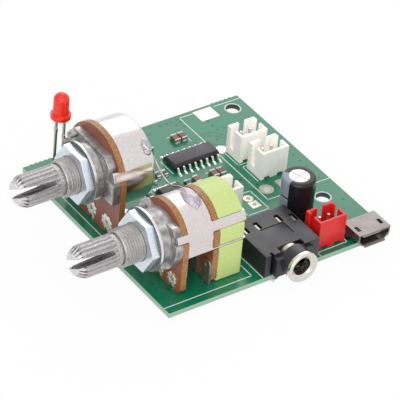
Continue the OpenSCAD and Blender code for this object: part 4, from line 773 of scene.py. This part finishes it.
def threaded_bushing(place, start, end):
    """Bushing with a fine rolled thread: one ridge that winds up its outside."""
    core, crest, bore, pitch = 3.28, 3.5, 2.84, 0.5
    crest_from, crest_to = 0.4 * pitch, 0.6 * pitch
    barrel_r, lead_in, chamfer = core + 0.03, 0.25, 0.1
    run_out, steps_a_turn, merge_within = 0.9, 48, 0.001
    barrel = turned([(bore, start), (barrel_r, start), (barrel_r, end - lead_in), (core - chamfer, end),
                     (bore + chamfer, end), (bore, end - chamfer)], place, steps=64)
    ridge = bmesh.new()
    low = ridge.verts.new((core, 0, start))
    top_a = ridge.verts.new((crest, 0, start + crest_from))
    top_b = ridge.verts.new((crest, 0, start + crest_to))
    high = ridge.verts.new((core, 0, start + pitch))
    edges = [ridge.edges.new(pair) for pair in ((low, top_a), (top_a, top_b), (top_b, high))]
    turns = int((end - start) / pitch - run_out)
    steps = steps_a_turn * turns
    bmesh.ops.spin(ridge, geom=[low, top_a, top_b, high] + edges, cent=(0, 0, 0), axis=(0, 0, 1),
                   dvec=(0, 0, turns * pitch / steps), angle=2 * math.pi * turns, steps=steps)
    bmesh.ops.remove_doubles(ridge, verts=ridge.verts, dist=merge_within)
    bmesh.ops.recalc_face_normals(ridge, faces=ridge.faces)
    bmesh.ops.transform(ridge, matrix=place, verts=ridge.verts)
    return gather([barrel, ridge])


def knurled_shaft(place, journal_from, knurl_from, tip):
    """Split shaft: journal, smooth collar, straight knurl, and a tapered tip cut in two by a slot."""
    radius, journal_r, knurl_in, teeth, tooth_points, taper = 3.0, 2.8, 0.26, 20, 6, 1.6
    collar, collar_edge, overlap = 0.8, 0.08, 0.02
    slot_length, slot_root, slot_mouth, slot_turn = 7.0, 0.4, 0.8, 34
    tip_heights = [tip - taper, tip - 0.55 * taper, tip - 0.15 * taper, tip]
    tip_sizes = [1, 0.89, 0.73, 0.64]
    bright_tip_from = tip - 0.5 * taper
    knurl_start = knurl_from + collar
    slot_from = tip - slot_length

    def toothed():
        disc = bmesh.new()
        rim = bmesh.ops.create_circle(disc, cap_ends=True, segments=teeth * tooth_points,
                                      radius=radius)["verts"]
        for i, vert in enumerate(rim):
            if i % tooth_points in (0, 1):
                vert.co *= (radius - knurl_in) / radius
        return disc

    def drawn_out(disc, heights, scales):
        bmesh.ops.translate(disc, verts=disc.verts, vec=(0, 0, heights[0]))
        face = disc.faces[:]
        size = scales[0]
        for low, high, scale in zip(heights, heights[1:], scales[1:]):
            verts, face = raised(disc, face, high - low)
            bmesh.ops.scale(disc, verts=verts, vec=(scale / size, scale / size, 1))
            size = scale
        return disc

    stem = turned([(0, journal_from), (journal_r, journal_from), (journal_r, knurl_from),
                   (radius - collar_edge, knurl_from), (radius, knurl_from + collar_edge),
                   (radius, knurl_start - collar_edge), (radius - collar_edge, knurl_start),
                   (0, knurl_start)],
                  Matrix.Identity(4), steps=64, closed=False)
    root = drawn_out(toothed(), [knurl_start - overlap, slot_from], [1, 1])
    lean = (slot_root - slot_mouth) / slot_length
    prongs = []
    for side in (0, 180):
        prong = drawn_out(toothed(), [slot_from - overlap] + tip_heights, [1] + tip_sizes)
        cut = bmesh.ops.bisect_plane(prong, geom=all_of(prong), plane_co=(0, slot_root, slot_from),
                                     plane_no=(0, 1, lean), clear_inner=True)["geom_cut"]
        bmesh.ops.edgeloop_fill(prong, edges=[e for e in cut if isinstance(e, bmesh.types.BMEdge)])
        # Faces near the tip take the lighter second material, partly machined finish and partly painted
        # highlight.
        for face in prong.faces:
            if face.calc_center_median().z > bright_tip_from:
                face.material_index = 1
        bmesh.ops.rotate(prong, verts=prong.verts,
                         matrix=Matrix.Rotation(math.radians(side + slot_turn), 3, "Z"))
        prongs.append(prong)
    shaft = gather([stem, root] + prongs)
    bmesh.ops.recalc_face_normals(shaft, faces=shaft.faces)
    bmesh.ops.transform(shaft, matrix=place, verts=shaft.verts)
    return shaft


def cast_plate(node, boss_front):
    """The plate and its boss, cut off where the bushing starts."""
    overlap, edge = 0.02 * MM, 0.08 * MM
    shape = solid_of(node)
    bmesh.ops.bisect_plane(shape, geom=all_of(shape), plane_co=(0, boss_front - overlap, 0),
                           plane_no=(0, -1, 0), clear_outer=True)
    eased(shape, edge)
    return shape


cast_zinc = finish("cast zinc", paint(196, 192, 192), paint(124, 121, 122), rough=0.32, rough_span=0.1,
                   metal=0.7, fleck=0.35, cloud=1.6, bump=0.35, by_cloud=True)
shaft_metal = finish("sandy shaft alloy", paint(206, 201, 202), paint(140, 136, 138), rough=0.4,
                     rough_span=0.08, metal=0.5, fleck=0.22, cloud=2.0, bump=0.9)
# The shaft's tip faces get a lighter alloy: partly the brighter machined cut, partly a painted highlight.
cut_face_and_highlight_metal = finish("cut shaft alloy and painted highlight", paint(232, 230, 230), paint(196, 193, 194), rough=0.36,
                   rough_span=0.06, metal=0.6, fleck=0.2, bump=0.6)
thread_metal = finish("rolled thread", paint(186, 182, 180), paint(148, 144, 144), rough=0.36, metal=0.6,
                      fleck=0.2, bump=0.3)
zinc_blue = finish("blue zinc plate", paint(226, 232, 239), paint(206, 214, 223), rough=0.3,
                   rough_span=0.06, metal=0.75, fleck=0.3, bump=0.06)
# The washers' faces are painted dark as painted shade between nut and plate, and their rims are painted
# bright as a painted highlight.
washer_painted_shade_and_highlight = finish("washer steel, painted shade and highlight", paint(104, 112, 110), paint(88, 96, 94), rough=0.26, rough_span=0.06,
                      metal=0.9, fleck=0.3)
painted_over(washer_painted_shade_and_highlight, cut_edge(washer_painted_shade_and_highlight, "Y"), paint(222, 224, 224))
bright_sheet = finish("bright tinned sheet", paint(226, 221, 221), paint(212, 207, 207), rough=0.2,
                      rough_span=0.03, metal=1.0, fleck=0.5, cloud=4, bump=0.03)
tin_sheet = finish("tinned sheet", paint(226, 218, 216), paint(212, 204, 202), rough=0.3, rough_span=0.04,
                   metal=0.9, fleck=0.35, cloud=3, bump=0.05)
phenolic = finish("phenolic face", paint(152, 90, 58), paint(140, 79, 51), rough=0.33, rough_span=0.06,
                  fleck=0.3, cloud=3, bump=0.06, by_cloud=True)
crimp_tin = finish("crimped tin", paint(242, 240, 234), paint(222, 218, 210), rough=0.26, metal=0.55,
                   fleck=0.15, bump=0.15)
rotor_black = finish("rotor moulding", paint(34, 34, 36), paint(42, 42, 44), rough=0.5, fleck=0.15)
bronze = finish("spring bronze", paint(206, 164, 98), paint(184, 140, 78), rough=0.28, metal=1.0, fleck=0.2)
carbon = finish("carbon ink", paint(38, 38, 40), paint(50, 50, 52), rough=0.6, fleck=0.1, bump=0.3)
fibre_nodes = phenolic.node_tree.nodes
fibre_links = phenolic.node_tree.links
speck = fibre_nodes.new("ShaderNodeTexNoise")
speck_size = 0.14 * MM
speck.inputs["Scale"].default_value = 1 / speck_size
speck_place = fibre_nodes.new("ShaderNodeTexCoord")
fibre_links.new(speck_place.outputs["Object"], speck.inputs["Vector"])
speck_colour = fibre_nodes.new("ShaderNodeValToRGB")
speck_colour.color_ramp.elements[0].position = 0.38
speck_colour.color_ramp.elements[0].color = paint(112, 70, 34)
speck_colour.color_ramp.elements[1].position = 0.62
speck_colour.color_ramp.elements[1].color = paint(190, 138, 84)
fibre_links.new(speck.outputs["Fac"], speck_colour.inputs["Fac"])
painted_over(phenolic, cut_edge(phenolic, "Y"), speck_colour.outputs["Color"])
red_phenolic = phenolic.copy()
red_phenolic.name = "red phenolic face"
red_phenolic.node_tree.nodes["Colour"].inputs["A"].default_value = paint(142, 82, 64)
red_phenolic.node_tree.nodes["Colour"].inputs["B"].default_value = paint(128, 72, 56)

journal_from = -3.8
bushing_root = 0.1
collar_gap = 0.3
for control, sheet, wafer in (("level", bright_sheet, red_phenolic), ("switch", tin_sheet, phenolic)):
    place = control_place(control + "_front_plate", control + "_shaft")
    plate_low, plate_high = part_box(control + "_front_plate")
    boss_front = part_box(control + "_washer")[1].y
    boss_end = (plate_high.y - boss_front) / MM
    bushing_end = (plate_high.y - plate_low.y) / MM
    tip = (plate_high.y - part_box(control + "_shaft")[0].y) / MM
    spindle = control + "_spindle"
    piece(control + "_cast_plate", cast_plate(control + "_front_plate", boss_front), "board", cast_zinc,
          "zinc_casting", control + "_front_plate")
    piece(control + "_bushing", threaded_bushing(place, boss_end - bushing_root, bushing_end), "board",
          thread_metal, "zinc_casting")
    shaft_shape = knurled_shaft(place, journal_from, bushing_end + collar_gap, tip)
    shaft = piece(control + "_knurled_shaft", shaft_shape, spindle, shaft_metal, "shaft_alloy",
                  control + "_shaft", keen=10)
    shaft.data.materials.append(cut_face_and_highlight_metal)
    piece(control + "_hex_nut", softened(control + "_nut", width=0.06, keen=45), "board", zinc_blue,
          "zinc_plate", control + "_nut")
    piece(control + "_plain_washer", softened(control + "_washer", width=0.05), "board", washer_painted_shade_and_highlight,
          "zinc_plate", control + "_washer")
    piece(control + "_crimped_terminals", softened(control + "_terminals", width=0.05), "board", crimp_tin,
          "tinned_metal", control + "_terminals")
    piece(control + "_tinned_cover", softened(control + "_cover", width=0.1), "board", sheet, "tinned_sheet",
          control + "_cover")
    dress(wafer, control + "_wafer")
    dress(rotor_black, control + "_rotor")
    dress(bronze, control + "_wiper")
    dress(carbon, control + "_track")


# Switch behind the second control: a lime moulding clasped by the cover's straps, on a phenolic
# base with two riveted blades; a bronze leaf and an ivory cam work inside.
lime = finish("lime moulding", paint(201, 217, 138), paint(194, 211, 130), rough=0.36, rough_span=0.06,
              fleck=0.5, cloud=4, bump=0.04)
# The blades' steel is painted darker: painted shade for the shadow they stand in.
blade_steel_painted_shade = finish("blade steel, painted shade", paint(168, 160, 150), paint(140, 132, 122), rough=0.3, metal=0.75,
                     fleck=0.15)
ivory = finish("ivory moulding", paint(226, 218, 196), paint(216, 208, 184), rough=0.5, fleck=0.3)
piece("switch_lime_housing", softened("switch_housing", width=0.25), "board", lime, "lime_plastic",
      "switch_housing")
piece("switch_riveted_blades", softened("switch_blades", width=0.05), "board", blade_steel_painted_shade, "tinned_metal",
      "switch_blades")
dress(phenolic, "switch_base")
dress(bronze, "switch_leaf")
dress(ivory, "switch_cam")


# Ground wire: bare tinned wire, bent by hand from one cover to the other. Each of its ends is held
# in a lump of rough solder.
wire_radius = 0.18 * MM
wire_route = [(0.51, -13.1, 16.61), (0.56, -12.95, 15.56), (0.71, -12.9, 14.76), (1.76, -12.95, 14.06),
              (2.96, -12.9, 13.21), (5.56, -13.2, 12.66), (7.96, -13.6, 13.3), (10.01, -14.0, 14.65),
              (11.21, -14.3, 15.5), (12.36, -14.6, 16.05), (14.06, -14.8, 16.4)]
wire_curve = bpy.data.curves.new("ground_bare_wire", "CURVE")
wire_curve.dimensions = "3D"
wire_curve.bevel_depth = wire_radius
wire_curve.bevel_resolution = 3
wire_curve.resolution_u = 6
wire_curve.use_fill_caps = True
wire_spline = wire_curve.splines.new("BEZIER")
wire_spline.bezier_points.add(len(wire_route) - 1)
for knot, spot in zip(wire_spline.bezier_points, wire_route):
    knot.co = at(*spot)
    knot.handle_left_type = "AUTO"
    knot.handle_right_type = "AUTO"
# The wire takes the darker contact tin: painted shade for the dark surroundings its tin reflects.
wire_curve.materials.append(bore_metal)
wire = bpy.data.objects.new("ground_bare_wire", wire_curve)
scene.collection.objects.link(wire)
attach(wire, "board")
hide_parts("ground_wire")


def lump(place, size, drum, rough, seed):
    """Uneven lump of solder: a ball drawn out to a size, dented all over and laid on a drum."""
    broad, fine, swelling = 1.6, 6, 0.16
    shape = bmesh.new()
    bmesh.ops.create_icosphere(shape, subdivisions=5, radius=1)
    for vert in shape.verts:
        swell = noise.noise(vert.co * broad + Vector((seed, 0, 0))) * swelling
        dent = noise.noise(vert.co * fine + Vector((0, seed, 0))) * rough
        vert.co *= 1 + swell + dent
    bmesh.ops.scale(shape, verts=shape.verts, vec=size)
    for vert in shape.verts:
        turn = vert.co.x / drum
        height = drum + vert.co.z
        vert.co = (height * math.sin(turn), vert.co.y, height * math.cos(turn))
    bmesh.ops.transform(shape, matrix=place, verts=shape.verts)
    return shape


rough_solder = finish("rough solder", paint(206, 200, 208), paint(150, 143, 156), rough=0.32,
                      rough_span=0.1, metal=0.85, fleck=0.25, bump=0.8)
level_lump_turn = Matrix.Rotation(math.radians(45), 4, "Y")
level_lump = lump(upright(-5.0, -14.5, 11.7) @ level_lump_turn, size=(1.65, 0.95, 0.85), drum=7.75,
                  rough=0.05, seed=3)
switch_lump_turn = Matrix.Rotation(math.radians(6), 4, "Y")
switch_lump = lump(upright(14.5, -14.85, 9.8) @ switch_lump_turn, size=(2.5, 1.42, 0.95), drum=6.1,
                   rough=0.07, seed=8)
piece("ground_solder_lumps", gather([level_lump, switch_lump]), "board", rough_solder, "solder",
      "ground_solder")
